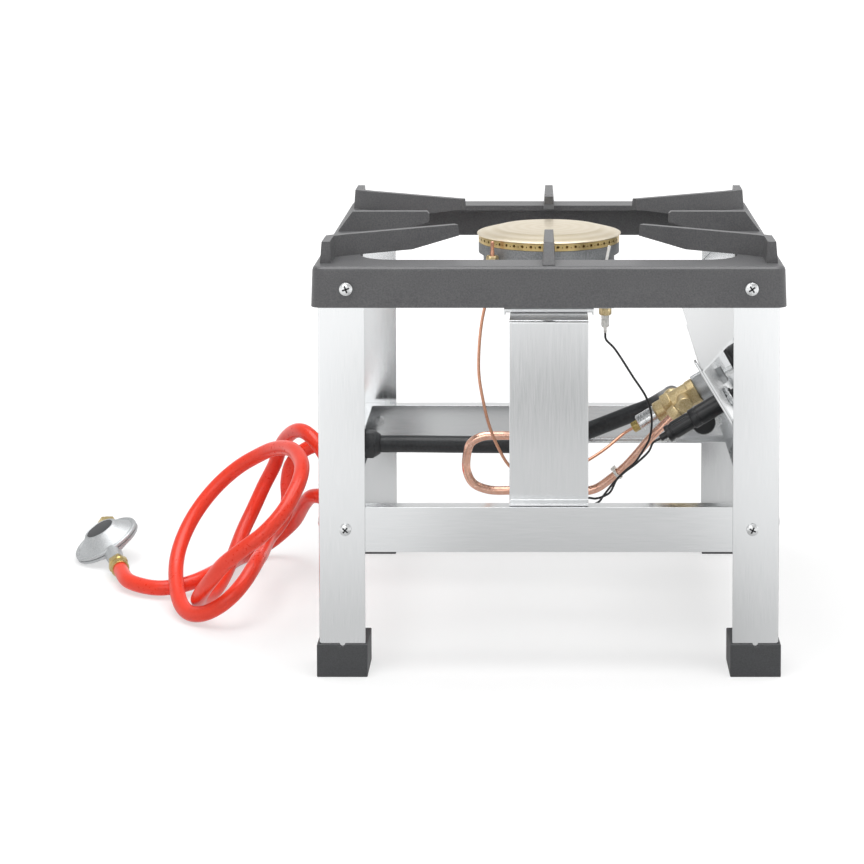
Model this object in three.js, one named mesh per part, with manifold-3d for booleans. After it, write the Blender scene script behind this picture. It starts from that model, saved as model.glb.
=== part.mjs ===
// Stock pot range: a low square stand with one ring burner, a pan grate, a sloping control
// panel and a free gas hose with its regulator. Millimetres, +Z up. X runs along the front,
// Y goes to the back, and the origin is on the floor under the middle of the stand.
import * as THREE from "three";
import { mergeVertices } from "three/addons/utils/BufferGeometryUtils.js";
import Module from "manifold-3d";

const wasm = await Module();
wasm.setup();

// ---- clearances ----
const fit = 0.3; // between pieces that touch
const play = 0.6; // round a piece that passes through a hole

// ---- grate casting ----
const rimWidth = 400; // over its lower edge
const rimDraft = 1.5; // each side, lower edge to top
const rimTop = 350; // top plate above the floor
const rimDepth = 34.5;
const rimPlate = 5;
const skirtWall = 5.7;
const rimCorner = 10;
const rimRound = 4; // round along the top edge
const grateOpening = 326;
const openingCorner = 30;

// ---- pan fingers ----
const fingerRise = 18.2; // pan seat above the top plate
const fingerSink = 2; // root of a finger inside the plate
const fingerBevel = 8.5; // underside of a tip above the plate
const midTip = 110.6; // tip from the middle of the grate
const midTop = 181; // end of the level pan seat
const midInset = 6; // foot inside the lower edge
const midHaunch = 26; // length of the bevel under a tip
const midWidth = 10.6; // at the foot
const cornerWidth = 10;
const fingerDraft = 1.5; // each side, foot to top
const cornerTip = [81, 80];
const cornerKnee = [176, 137];
const cornerTurn = [188, 147];
const cornerEnd = [188.2, 182];
const cornerHaunch = 48; // length of the bevel under a tip

// ---- legs and foot caps ----
const legWidth = 39;
const legWall = 1.5;
const legBend = 2;
const capWall = 1.6;
const capFloor = 3;
const capHeight = 28.5;
const capNotch = 2.5;

// ---- crossbars ----
const barHeight = 38.3;
const barTop = 144.5;
const barScrewDrop = 18.5; // screws and gas inlet below the top edge
const barWall = 1.5;
const barFlange = 14;

// ---- screws ----
const barScrewInset = 22.5; // from the leg's outer face
const sideScrewInset = 26;
const barScrewShank = 4.8;
const barScrewHead = 10;
const rimScrewInset = 30.5; // from the casting's lower edge
const rimScrewDrop = 18.5; // below the top plate
const rimScrewShank = 5.2;
const rimScrewHead = 11;
const screwHeadHeight = 3;
const nutHeight = 3.6;
const nutOverSize = 3.4; // nut across flats over the shank
const screwTail = 2.5; // thread past the nut

// ---- burner bridge and plate ----
const bridgeWidth = 67;
const bridgeWall = 2;
const bridgeTop = 300.6;
const bridgeFoot = 13;
const footInset = 2.2; // foot's end inside the crossbar's face
const plateWidth = 77.5;
const plateLength = 288;
const plateThickness = 3;
const plateLip = 1.9;
const lipWall = 1.5;

// ---- burner ----
const burnerHeight = 36.5;
const flangeRadius = 65;
const flangeHeight = 9.7;
const bowlRadius = 60.5;
const bowlWall = 4.5;
const bowlFoot = 30;
const bowlCone = 12;
const mixerRadius = 17;
const mixerBore = 13;
const mixerLength = 116;
const mixerFlare = 22;
const cradleDrop = 16; // cradle below the mixer's mouth
const cradleHeight = 6;
const cradleArm = 7;
const ringHeight = 6.2;
const ringWall = 8;
const ringPorts = 50;
const portWidth = 2.6;
const lidRadius = 66.4;
const lidEdge = 1.2;
const lidCrown = 4.9;
const lidFlat = 48;
const lidSpigot = 3;

// ---- injector and gas pipe ----
const injectorDrop = 30; // gas elbow below the mixer's mouth
const injectorRadius = 8;
const nozzleRadius = 5;
const nozzleRise = 22;
const injectorArm = 36;
const injectorNut = 14;
const injectorNutLength = 10;
const gasPipe = 8;
const outletNut = 14;
const outletNutLength = 9;

// ---- supply line ----
const supplyY = 97;
const supplyPipe = 16.5;
const supplyNut = 25;
const supplyNutLength = 21.5;
const supplyNutCone = 5;
const inletRadius = 8;
const inletReach = 8; // barrel's end outside the crossbar's face
const inletHex = 22;
const inletHexLength = 4.6;
const ferruleHex = 19;
const ferruleLength = 12.8;

// ---- control panel ----
const panelApex = [130.7, 259.7];
const panelGap = 0.6; // behind the leg's wall
const panelLow = 158;
const panelHigh = 327;
const panelLip = 13;
const panelWall = 1.5;
const panelEndGap = 2.5;
const controlDrop = 56; // controls down the lower sheet from the apex
const valveY = 10;
const igniterY = -80;

// ---- gas valve, along its own axis ----
const carrierThickness = 1.8;
const carrierDrop = 36;
const carrierPast = 20; // behind the valve's axis
const carrierInset = 1; // front end inside the sheet's end
const tabWidth = 12;
const tabRise = 10;
const neckRadius = 8;
const neckRise = 5;
const bonnetRadius = 12;
const bonnetLength = 21;
const spindleRadius = 4;
const spindleFoot = 19;
const spindleHead = 33;
const valveRadius = 12;
const valveLength = 43.4;
const magnetRadius = 8.5;
const magnetLength = 19;
const leadNut = 9;
const leadNutLength = 7;
const knobRadius = 25;
const knobSkirt = 3;
const knobGrip = 19;
const knobHeight = 20.5;
const knobStandoff = 15;
const knobRib = 5;
const outletDepth = 40; // gas outlet behind the panel
const outletOffset = 24; // outlet elbow to the front of the valve
const outletNeck = 6;
const outletStub = 8; // neck past the elbow's middle
const inletDepth = 50; // gas inlet behind the panel
const inletOffset = 24;

// ---- igniter, along its own axis ----
const igniterThread = 7.5;
const igniterRise = 6;
const igniterFlange = 10;
const igniterFlangeLength = 3.2;
const igniterRadius = 9;
const igniterStep = 38;
const igniterRear = 62.5;
const igniterTail = 70;
const igniterHex = 20;
const igniterHexLength = 4;
const buttonRadius = 5.4;
const buttonRise = 11;
const buttonWell = 6.5;

// ---- thermocouple and electrode ----
const probeGap = 7.125; // probe outside the burner's flange
const probeRadius = 2.6;
const probeTip = 348;
const probeNut = 10;
const probeNutLength = 6.3;
const lugTop = 328.4;
const lugThickness = 6;
const lugWidth = 13;
const leadWidth = 2.8;
const electrodeGap = 3.015; // electrode outside the burner's flange
const electrodeTurn = -41.424; // degrees round the burner
const electrodeTip = 343;
const electrodeRod = 1.4;
const ceramicRadius = 3.5;
const ceramicFoot = 268.8;
const ceramicHead = 298;
const electrodeNut = 10;
const electrodeNutLength = 6.9;
const earTop = 288.8;
const earWall = 1.5;
const earWidth = 16;
const wireWidth = 2;
const tiePlace = 0.75; // share of the gas pipe's length
const tieWidth = 3.2;
const tieSize = 13;

// ---- hose and regulator ----
const hoseWidth = 14;
const discRadius = 33;
const discRim = 3;
const coverTop = 15.2;
const coverHeight = 15.5;
const bellyRadius = 14;
const bellyDepth = 12;
const outletReach = 54.5;
const armDrop = 4; // both arms below the disc's middle
const outletRadius = 8.5;
const hoseNut = 17;
const hoseNutLength = 19.7;
const bottleReach = 36;
const bottleRadius = 7;
const bottleStem = 5;
const bottleStemReach = 50;
const bottleNut = 20;
const bottleNutLength = 12;
const bottleTurn = 7; // degrees from the outlet's line
const regulatorAt = [-439.1, 135.6, 18.7];
const regulatorRoll = 28.5; // degrees about its outlet
const regulatorPitch = 2.95;
const regulatorHeading = -70.3;

// ---- worked out ----
const legFace = rimWidth / 2 - skirtWall - fit;
const legTop = rimTop - rimPlate - fit;
const capFace = legFace + fit + capWall;
const barFace = legFace - legWall - fit;
const barMid = barTop - barScrewDrop;
const pillarFace = barFace - footInset - bridgeFoot;
const plateBase = bridgeTop + fit;
const burnerBase = plateBase + plateThickness + fit;
const flangeTop = burnerBase + burnerHeight;
const ringBase = flangeTop + fit;
const lidBase = ringBase + ringHeight + fit;
const mixerMouth = burnerBase - mixerLength;
const injectorAxis = mixerMouth - injectorDrop;
const cradleTop = mixerMouth - cradleDrop;
const panelFace = legFace - legWall - panelGap;
const panelHalf = legFace - legWall - panelEndGap;
const fingerTop = rimTop + fingerRise;
const midFoot = rimWidth / 2 - midInset;
const sheetRun = panelFace - panelApex[0];
const sheetDrop = panelApex[1] - panelLow;
const sheetLength = Math.hypot(sheetRun, sheetDrop);
const sheetTilt = Math.atan2(sheetDrop, sheetRun);

const degrees = Math.PI / 180;

const around = (reach, turn) => [reach * Math.cos(turn * degrees), reach * Math.sin(turn * degrees)];
const probeAt = around(flangeRadius + probeGap, -135);
const electrodeAt = around(flangeRadius + electrodeGap, electrodeTurn);

// ---- materials ----
const finish = (color, roughness, metalness) =>
  new THREE.MeshStandardMaterial({ color, roughness, metalness });
const enamel = finish(0x6b6b6c, 0.62, 0.1);
const stainless = finish(0xc9cbcc, 0.34, 1);
const sheetSteel = finish(0xd6d8d9, 0.4, 1);
const capPlastic = finish(0x3c3d3f, 0.7, 0);
const castIron = finish(0x4a4a4b, 0.8, 0.2);
const brass = finish(0xc9a566, 0.34, 1);
const copper = finish(0xc0795a, 0.32, 1);
const blackPipe = finish(0x2b2c2e, 0.45, 0.3);
const blackPlastic = finish(0x1b1c1e, 0.42, 0);
const greyCast = finish(0x9b9da0, 0.5, 0.8);
const zinc = finish(0xbfc2c4, 0.38, 0.9);
const ceramic = finish(0xe9e6dd, 0.4, 0);
const wireBlack = finish(0x17181a, 0.5, 0);
const whiteNylon = finish(0xe8e8e4, 0.5, 0);
const hoseRed = finish(0xd33a2c, 0.45, 0);

// ---- solids: each helper returns a closed manifold solid ----
function solid(geometry) {
  const bare = geometry.clone();
  bare.deleteAttribute("normal");
  bare.deleteAttribute("uv");
  const merged = mergeVertices(bare, 1e-4);
  return new wasm.Manifold(
    new wasm.Mesh({
      numProp: 3,
      vertProperties: merged.attributes.position.array,
      triVerts: Uint32Array.from(merged.index.array),
    }),
  );
}

function geometryOf(body) {
  const mesh = body.getMesh();
  const geometry = new THREE.BufferGeometry();
  geometry.setAttribute("position", new THREE.BufferAttribute(mesh.vertProperties, 3));
  geometry.setIndex(new THREE.BufferAttribute(mesh.triVerts, 1));
  const flat = geometry.toNonIndexed();
  flat.computeVertexNormals();
  return flat;
}

const join = (...bodies) => wasm.Manifold.union(bodies);
const cut = (body, ...tools) => body.subtract(join(...tools));

function box(x0, x1, y0, y1, z0, z1) {
  const geometry = new THREE.BoxGeometry(x1 - x0, y1 - y0, z1 - z0);
  return solid(geometry.translate((x0 + x1) / 2, (y0 + y1) / 2, (z0 + z1) / 2));
}

// A round or many-sided bar between two points.
function rod(radius, from, to, sides = 20, endRadius = radius) {
  const a = new THREE.Vector3(...from);
  const b = new THREE.Vector3(...to);
  const along = b.clone().sub(a);
  const geometry = new THREE.CylinderGeometry(endRadius, radius, along.length(), sides);
  const turn = new THREE.Quaternion().setFromUnitVectors(
    new THREE.Vector3(0, 1, 0),
    along.clone().normalize(),
  );
  geometry.applyQuaternion(turn);
  const middle = a.add(b).multiplyScalar(0.5);
  return solid(geometry.translate(middle.x, middle.y, middle.z));
}

// A hexagonal nut with a bore, between two points; size is across its flats.
function nut(size, bore, from, to) {
  const a = new THREE.Vector3(...from);
  const b = new THREE.Vector3(...to);
  const past = b.clone().sub(a).setLength(1);
  const tool = rod(bore, a.clone().sub(past).toArray(), b.clone().add(past).toArray(), 16);
  return cut(rod(size / Math.sqrt(3), from, to, 6), tool);
}

// A closed outline [radius, height] turned about the Z axis.
function turned(profile, sides = 40) {
  const points = [...profile, profile[0]].map(([r, z]) => new THREE.Vector2(r, z));
  const geometry = new THREE.LatheGeometry(points, sides);
  return solid(geometry.rotateX(Math.PI / 2));
}

function shapeOf(points) {
  return new THREE.Shape(points.map(([x, y]) => new THREE.Vector2(x, y)));
}

// A flat outline in X and Y, raised from z0 to z1.
function raised(shape, z0, z1, options = {}) {
  const bevel = options.bevel ?? 0;
  const geometry = new THREE.ExtrudeGeometry(shape, {
    depth: z1 - z0 - 2 * bevel,
    curveSegments: options.curve ?? 6,
    bevelEnabled: bevel > 0,
    bevelThickness: bevel,
    bevelSize: bevel,
    bevelOffset: -bevel,
    bevelSegments: options.steps ?? 2,
  });
  return solid(geometry.translate(0, 0, z0 + bevel));
}

// An outline in X and Z, carried along Y from y0 to y1.
function carried(points, y0, y1) {
  const geometry = new THREE.ExtrudeGeometry(shapeOf(points), { depth: y1 - y0, bevelEnabled: false });
  return solid(geometry.rotateX(Math.PI / 2).translate(0, y1, 0));
}

function roundedSquare(half, corner) {
  const shape = new THREE.Shape();
  const near = half - corner;
  shape.absarc(near, near, corner, 0, Math.PI / 2);
  shape.absarc(-near, near, corner, Math.PI / 2, Math.PI);
  shape.absarc(-near, -near, corner, Math.PI, 1.5 * Math.PI);
  shape.absarc(near, -near, corner, 1.5 * Math.PI, 2 * Math.PI);
  return shape;
}

// Both sides of an open line of points, with mitred turns: an outline of that width.
function ribbon(points, width) {
  const line = points.map(([x, y]) => new THREE.Vector2(x, y));
  const steps = line.slice(1).map((p, i) => p.clone().sub(line[i]).normalize());
  const left = [];
  const right = [];
  line.forEach((p, i) => {
    const before = steps[Math.max(i - 1, 0)];
    const after = steps[Math.min(i, steps.length - 1)];
    const middle = before.clone().add(after).normalize();
    const reach = width / 2 / middle.dot(before);
    left.push([p.x - middle.y * reach, p.y + middle.x * reach]);
    right.unshift([p.x + middle.y * reach, p.y - middle.x * reach]);
  });
  return [...left, ...right];
}

// A smooth curve through points.
function smooth(points) {
  const through = points.map((p) => new THREE.Vector3(...p));
  return new THREE.CatmullRomCurve3(through, false, "centripetal");
}

// A round section swept along a smooth curve through points.
function tube(points, width, sides, steps) {
  const path = smooth(points);
  const section = new THREE.Shape();
  for (let i = 0; i < sides; i += 1) {
    const turn = (i / sides) * 2 * Math.PI;
    const x = (width / 2) * Math.cos(turn);
    const y = (width / 2) * Math.sin(turn);
    if (i === 0) section.moveTo(x, y);
    else section.lineTo(x, y);
  }
  section.closePath();
  return new THREE.ExtrudeGeometry(section, { extrudePath: path, steps, bevelEnabled: false });
}

// ---- the scene graph ----
const range = new THREE.Group();

function add(parent, name, body, material) {
  const geometry = body.isBufferGeometry ? body : geometryOf(body);
  const mesh = new THREE.Mesh(geometry, material);
  mesh.name = name;
  parent.add(mesh);
  return mesh;
}

const quarters = [
  ["front_left", -1, -1],
  ["front_right", 1, -1],
  ["rear_left", -1, 1],
  ["rear_right", 1, 1],
];

// ---- grate: a skirted casting with four corner walls and four middle fingers ----
function cornerFinger(sx, sy) {
  const line = [cornerTip, cornerKnee, cornerTurn, cornerEnd];
  const placed = line.map(([x, y]) => [sx * x, sy * y]);
  const root = rimTop - fingerSink;
  // One deep bevel on each end makes a double wedge, and its upper half is the wall.
  const tapered = new THREE.ExtrudeGeometry(shapeOf(ribbon(placed, cornerWidth)), {
    depth: 1,
    bevelThickness: fingerTop - root,
    bevelSize: fingerDraft,
    bevelOffset: -fingerDraft,
    bevelSegments: 1,
  });
  tapered.translate(0, 0, root - 1);
  const under = box(-rimWidth, rimWidth, -rimWidth, rimWidth, root - 60, root);
  const wall = solid(tapered).subtract(under);
  const heading = new THREE.Vector2(cornerKnee[0] - cornerTip[0], cornerKnee[1] - cornerTip[1]);
  heading.normalize();
  const run = Math.hypot(grateOpening / 2 - cornerTip[0], cornerKnee[1] - cornerTip[1]) - 4;
  // The wedge under the overhanging tip is drawn along X, then turned to the finger's line.
  const wedge = [
    [-20, rimTop - fingerSink - 5],
    [run, rimTop - fingerSink - 5],
    [run, rimTop],
    [cornerHaunch, rimTop],
    [0, rimTop + fingerBevel],
    [-20, rimTop + fingerBevel],
  ];
  const shape = new THREE.ExtrudeGeometry(shapeOf(wedge), { depth: 30, bevelEnabled: false });
  shape.rotateX(Math.PI / 2).translate(0, 15, 0);
  shape.rotateZ(Math.atan2(sy * heading.y, sx * heading.x));
  shape.translate(sx * cornerTip[0], sy * cornerTip[1], 0);
  return wall.subtract(solid(shape));
}

function midFinger(turn) {
  const side = [
    [midTip, rimTop + fingerBevel],
    [midTip + midHaunch, rimTop],
    [grateOpening / 2, rimTop],
    [grateOpening / 2 + 1, rimTop - fingerSink],
    [midFoot, rimTop - fingerSink],
    [midFoot, rimTop + 0.8],
    [midTop, fingerTop],
    [midTip + 2, fingerTop],
    [midTip, fingerTop - 2],
  ];
  const geometry = geometryOf(carried(side, -midWidth / 2, midWidth / 2));
  const corners = geometry.attributes.position;
  for (let i = 0; i < corners.count; i += 1) {
    const lift = (corners.getZ(i) - rimTop) / fingerRise;
    corners.setY(i, corners.getY(i) * (1 - (lift * fingerDraft * 2) / midWidth));
  }
  return solid(geometry.rotateZ(turn));
}

function topGrate() {
  const rimBase = rimTop - rimDepth;
  const outer = new THREE.ExtrudeGeometry(roundedSquare(rimWidth / 2 - rimRound, rimCorner - rimRound), {
    depth: rimDepth - rimRound + 10,
    curveSegments: 4,
    bevelThickness: rimRound,
    bevelSize: rimRound,
    bevelSegments: 3,
  });
  outer.translate(0, 0, rimBase - 10);
  const corners = outer.attributes.position;
  for (let i = 0; i < corners.count; i += 1) {
    const lift = Math.max(corners.getZ(i) - rimBase, 0) / rimDepth;
    const scale = 1 - (lift * rimDraft * 2) / rimWidth;
    corners.setXY(i, corners.getX(i) * scale, corners.getY(i) * scale);
  }
  const skirt = roundedSquare(rimWidth / 2 - skirtWall, legBend);
  const hollow = raised(skirt, rimBase - 30, rimTop - rimPlate, { curve: 2 });
  const opening = raised(roundedSquare(grateOpening / 2, openingCorner), rimBase, rimTop + 10);
  const below = box(-rimWidth, rimWidth, -rimWidth, rimWidth, rimBase - 40, rimBase);
  const shell = cut(solid(outer), hollow, opening, below);
  const fingers = quarters.map(([, sx, sy]) => cornerFinger(sx, sy));
  const mids = [0, 1, 2, 3].map((i) => midFinger((i * Math.PI) / 2));
  const holes = [];
  for (const sx of [-1, 1]) {
    const x = sx * (rimWidth / 2 - rimScrewInset);
    const z = rimTop - rimScrewDrop;
    holes.push(rod(rimScrewShank / 2 + fit, [x, -rimWidth, z], [x, rimWidth, z], 12));
  }
  return cut(join(shell, ...fingers, ...mids), ...holes);
}

// ---- stand: legs, foot caps, crossbars and their screws ----
function legShape(sx, sy) {
  const face = legFace;
  const wall = legWall;
  const reach = legFace - legWidth;
  const outline = [
    [reach, face],
    [face - legBend, face],
    [face - legBend * 0.3, face - legBend * 0.3],
    [face, face - legBend],
    [face, reach],
    [face - wall, reach],
    [face - wall, face - wall],
    [reach, face - wall],
  ];
  return shapeOf(outline.map(([x, y]) => [sx * x, sy * y]));
}

// Crossbar screws: along Y through the front and rear bars, along X through the side bars.
const barScrews = [];
for (const [name, sx, sy] of quarters) {
  const end = legFace - barScrewInset;
  const side = legFace - sideScrewInset;
  barScrews.push({ name, at: [sx * end, sy * legFace, barMid], out: [0, sy, 0] });
  barScrews.push({ name: name + "_side", at: [sx * legFace, sy * side, barMid], out: [sx, 0, 0] });
}
const rimScrews = quarters.map(([name, sx, sy]) => ({
  name,
  at: [sx * (rimWidth / 2 - rimScrewInset), sy * (rimWidth / 2), rimTop - rimScrewDrop],
  out: [0, sy, 0],
}));

const along = (at, out, step) => at.map((value, i) => value + out[i] * step);

// A pan-head screw with its nut: its head's seat is at the point, its shank goes inwards.
function screw({ at, out }, shank, head, grip) {
  const seat = fit;
  const crown = seat + screwHeadHeight;
  const nutFace = -grip - fit;
  const nutEnd = nutFace - nutHeight;
  const cross = head * 0.3;
  const slotDepth = screwHeadHeight * 0.45;
  const body = join(
    rod(shank / 2, along(at, out, nutEnd - screwTail), along(at, out, seat + 1), 12),
    rod(head / 2, along(at, out, seat), along(at, out, seat + screwHeadHeight * 0.5), 16),
    rod(head / 2, along(at, out, seat + screwHeadHeight * 0.5), along(at, out, crown), 16, head * 0.33),
    rod((shank + nutOverSize) / Math.sqrt(3), along(at, out, nutEnd), along(at, out, nutFace), 6),
  );
  const deep = along(at, out, crown - slotDepth);
  const high = along(at, out, crown + 1);
  const flat = [0, 1, 2].map((i) => [Math.min(deep[i], high[i]), Math.max(deep[i], high[i])]);
  const bars = [0, 1].map((k) => {
    const span = flat.map(([lo, hi], i) => {
      if (out[i] !== 0) return [lo, hi];
      const wide = (i === 2) === (k === 1);
      const half = wide ? cross : 0.5;
      return [at[i] - half, at[i] + half];
    });
    return box(...span[0], ...span[1], ...span[2]);
  });
  return cut(body, ...bars);
}

function leg([name, sx, sy]) {
  const body = raised(legShape(sx, sy), capFloor + fit, legTop);
  const own = [...barScrews, ...rimScrews].filter((s) => s.name.replace("_side", "") === name);
  const holes = own.map((s) => {
    const shank = s.at[2] > barTop ? rimScrewShank : barScrewShank;
    return rod(shank / 2 + fit, along(s.at, s.out, -20), along(s.at, s.out, 5), 12);
  });
  return cut(body, ...holes);
}

function footCap(sx, sy) {
  const inner = legFace - legWidth - fit - capWall;
  const block = [
    [inner, inner],
    [capFace, inner],
    [capFace, capFace],
    [inner, capFace],
  ];
  const near = legFace - legWidth - fit;
  const far = legFace + fit;
  const slot = [
    [near, far],
    [far, far],
    [far, near],
    [far - legWall - 2 * fit, near],
    [far - legWall - 2 * fit, far - legWall - 2 * fit],
    [near, far - legWall - 2 * fit],
  ];
  const place = (points) => shapeOf(points.map(([x, y]) => [sx * x, sy * y]));
  const middle = (inner + capFace) / 2;
  const past = capFace + 1;
  const inside = legFace;
  return cut(
    raised(place(block), 0, capHeight, { bevel: 0.8, steps: 1 }),
    raised(place(slot), capFloor, capHeight + 1),
    rod(capNotch, [sx * middle, sy * past, capHeight], [sx * middle, sy * inside, capHeight], 10),
    rod(capNotch, [sx * past, sy * middle, capHeight], [sx * inside, sy * middle, capHeight], 10),
  );
}

// A channel with its flanges inwards; its outline lies in [inward distance, height].
const channel = [
  [0, barTop - barHeight],
  [barFlange, barTop - barHeight],
  [barFlange, barTop - barHeight + barWall],
  [barWall, barTop - barHeight + barWall],
  [barWall, barTop - barWall],
  [barFlange, barTop - barWall],
  [barFlange, barTop],
  [0, barTop],
];

function crossbar(turn, half, inset) {
  const outline = channel.map(([inward, z]) => [barFace - inward, z]);
  const geometry = geometryOf(carried(outline, -half, half)).rotateZ(turn);
  const holes = [-1, 1].map((s) => {
    const y = s * (legFace - inset);
    const inner = [barFace - 30, y, barMid];
    const outer = [barFace + 5, y, barMid];
    const drill = geometryOf(rod(barScrewShank / 2 + fit, inner, outer, 12));
    return solid(drill.rotateZ(turn));
  });
  return cut(solid(geometry), ...holes);
}

function buildStand() {
  const stand = new THREE.Group();
  add(stand, "top_grate", topGrate(), enamel);
  for (const quarter of quarters) {
    const [name, sx, sy] = quarter;
    add(stand, "leg_" + name, leg(quarter), stainless);
    add(stand, "foot_cap_" + name, footCap(sx, sy), capPlastic);
  }
  const long = barFace - fit;
  const short = barFace - barFlange - fit;
  add(stand, "crossbar_front", crossbar(-Math.PI / 2, long, barScrewInset), stainless);
  add(stand, "crossbar_rear", crossbar(Math.PI / 2, long, barScrewInset), stainless);
  add(stand, "crossbar_right", crossbar(0, short, sideScrewInset), stainless);
  const bore = [
    [-barFace - 5, supplyY, barMid],
    [-barFace + 8, supplyY, barMid],
  ];
  const leftBar = cut(crossbar(Math.PI, short, sideScrewInset), rod(inletRadius + fit, ...bore, 24));
  add(stand, "crossbar_left", leftBar, stainless);
  for (const s of barScrews) {
    const grip = legFace - barFace + barWall;
    add(stand, "bar_screw_" + s.name, screw(s, barScrewShank, barScrewHead, grip), zinc);
  }
  for (const s of rimScrews) {
    const grip = skirtWall + fit + legWall;
    add(stand, "rim_screw_" + s.name, screw(s, rimScrewShank, rimScrewHead, grip), zinc);
  }
  return stand;
}

// ---- burner bridge, plate and burner ----
function bridge() {
  const foot = barTop + fit;
  const inner = pillarFace - bridgeWall;
  const tip = pillarFace + bridgeFoot;
  const half = [
    [tip, foot],
    [tip, foot + bridgeWall],
    [pillarFace, foot + bridgeWall],
    [pillarFace, bridgeTop - 3],
    [pillarFace - 1, bridgeTop - 1],
    [pillarFace - 3, bridgeTop],
  ];
  const under = [
    [inner - 1, bridgeTop - bridgeWall],
    [inner, bridgeTop - bridgeWall - 1],
    [inner, foot],
  ];
  const mirrored = (points) => points.map(([y, z]) => [-y, z]).reverse();
  const outline = [...half, ...mirrored(half), ...mirrored(under), ...under];
  const strip = geometryOf(carried(outline, -bridgeWidth / 2, bridgeWidth / 2));
  const past = [
    [0, 0, bridgeTop - 20],
    [0, 0, bridgeTop + 20],
  ];
  return cut(solid(strip.rotateZ(Math.PI / 2)), rod(mixerRadius + play, ...past, 28));
}

function burnerPlate() {
  const x = plateWidth / 2;
  const y = plateLength / 2;
  const top = plateBase + plateThickness;
  const [ex, ey] = electrodeAt;
  const sheet = box(-x, x, -y, y, plateBase - plateLip, top);
  const under = box(-x + lipWall, x - lipWall, -y - 1, y + 1, plateBase - 20, plateBase);
  const ear = join(
    box(x - earWall, x, ey - earWidth / 2, ey + earWidth / 2, earTop - earWall, top),
    box(x - earWall, ex + 8, ey - earWidth / 2, ey + earWidth / 2, earTop - earWall, earTop),
  );
  return cut(
    join(cut(sheet, under), ear),
    rod(mixerRadius + play, [0, 0, plateBase - 20], [0, 0, top + 20], 28),
    rod(ceramicRadius + fit, [ex, ey, earTop - 10], [ex, ey, earTop + 10], 16),
  );
}

function burnerBody() {
  const wall = bowlRadius - bowlWall;
  const sideTop = flangeTop - flangeHeight;
  const inner = mixerBore;
  const profile = [
    [inner, mixerMouth + 14],
    [mixerFlare - 4, mixerMouth],
    [mixerFlare, mixerMouth],
    [mixerRadius, mixerMouth + 16],
    [mixerRadius, burnerBase],
    [bowlFoot, burnerBase],
    [bowlRadius, burnerBase + bowlCone],
    [bowlRadius, sideTop - 1],
    [flangeRadius, sideTop],
    [flangeRadius, flangeTop],
    [wall, flangeTop],
    [wall, burnerBase + bowlCone + 2],
    [bowlFoot - 2, burnerBase + bowlWall],
    [inner, burnerBase + bowlWall],
  ];
  const arms = [-1, 1].map((s) => {
    const near = s * (mixerFlare - 4);
    const far = s * mixerFlare;
    const top = mixerMouth + 2;
    const low = cradleTop - cradleHeight;
    return box(Math.min(near, far), Math.max(near, far), -cradleArm / 2, cradleArm / 2, low, top);
  });
  const hole = injectorRadius + fit;
  const cradle = turned([
    [hole, cradleTop - cradleHeight],
    [mixerFlare, cradleTop - cradleHeight],
    [mixerFlare, cradleTop],
    [hole, cradleTop],
  ]);
  const [px, py] = probeAt;
  const reach = Math.hypot(px, py);
  const lug = new THREE.BoxGeometry(reach - bowlRadius + 9, lugWidth, lugThickness);
  lug.translate((reach + bowlRadius + 5) / 2, 0, lugTop - lugThickness / 2);
  lug.rotateZ(Math.atan2(py, px));
  const bore = rod(probeRadius + fit, [px, py, lugTop - 20], [px, py, lugTop + 6], 16);
  return cut(join(turned(profile, 48), ...arms, cradle, solid(lug)), bore);
}

function burnerRing() {
  const inner = flangeRadius - ringWall;
  const top = ringBase + ringHeight;
  const band = turned(
    [
      [inner, ringBase],
      [flangeRadius, ringBase],
      [flangeRadius, top],
      [inner, top],
    ],
    60,
  );
  const ports = Array.from({ length: ringPorts }, (_, i) => {
    const turn = ((i + 0.5) / ringPorts) * 2 * Math.PI;
    const z = ringBase + ringHeight / 2 + 0.4;
    const at = (r) => [r * Math.cos(turn), r * Math.sin(turn), z];
    return rod(portWidth / 2, at(inner - 3), at(flangeRadius + 3), 6);
  });
  return cut(band, ...ports);
}

function burnerLid() {
  const spigot = flangeRadius - ringWall - fit;
  return turned(
    [
      [0, lidBase - lidSpigot],
      [spigot, lidBase - lidSpigot],
      [spigot, lidBase],
      [lidRadius, lidBase],
      [lidRadius, lidBase + lidEdge],
      [lidFlat, lidBase + lidEdge + lidCrown],
      [0, lidBase + lidEdge + lidCrown],
    ],
    60,
  );
}

// The elbow hangs in the cradle: gas comes in from the left and leaves upwards.
function injectorElbow() {
  const z = injectorAxis;
  const nutEnd = -injectorArm + injectorNutLength;
  return join(
    rod(injectorRadius, [0, 0, z - 8], [0, 0, cradleTop + 1], 20),
    rod(nozzleRadius, [0, 0, cradleTop], [0, 0, z + nozzleRise + 4], 16),
    rod(injectorRadius - 2.5, [nutEnd - 1, 0, z], [0, 0, z], 16),
    rod(injectorNut / Math.sqrt(3), [-injectorArm, 0, z], [nutEnd, 0, z], 6),
  );
}

function thermocouple(leadEnd) {
  const [x, y] = probeAt;
  const nutTop = lugTop + fit + probeNutLength;
  const lead = tube(
    [
      [x - 1, y, lugTop - 16.4],
      [x - 6, y + 1, lugTop - 36.4],
      [-61, -49, 272],
      [-63.2, -49, 249],
      [-63.3, -49, 226],
      [-59.7, -49, 203],
      [-54.3, -48, 180],
      [-45.3, -46, 157],
      [-34, -43, 139],
      [-14, -38, 129],
      [10, -31, 130],
      [34, -20, 139],
      [52, -6, 147],
      ...leadEnd,
    ],
    leadWidth,
    8,
    44,
  );
  return join(
    solid(lead),
    rod(probeRadius - 0.6, [x, y, 309], [x, y, nutTop + 4], 14),
    rod(probeRadius - 0.6, [x, y, nutTop + 3], [x + 2, y, probeTip], 14, probeRadius - 1),
  );
}

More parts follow.
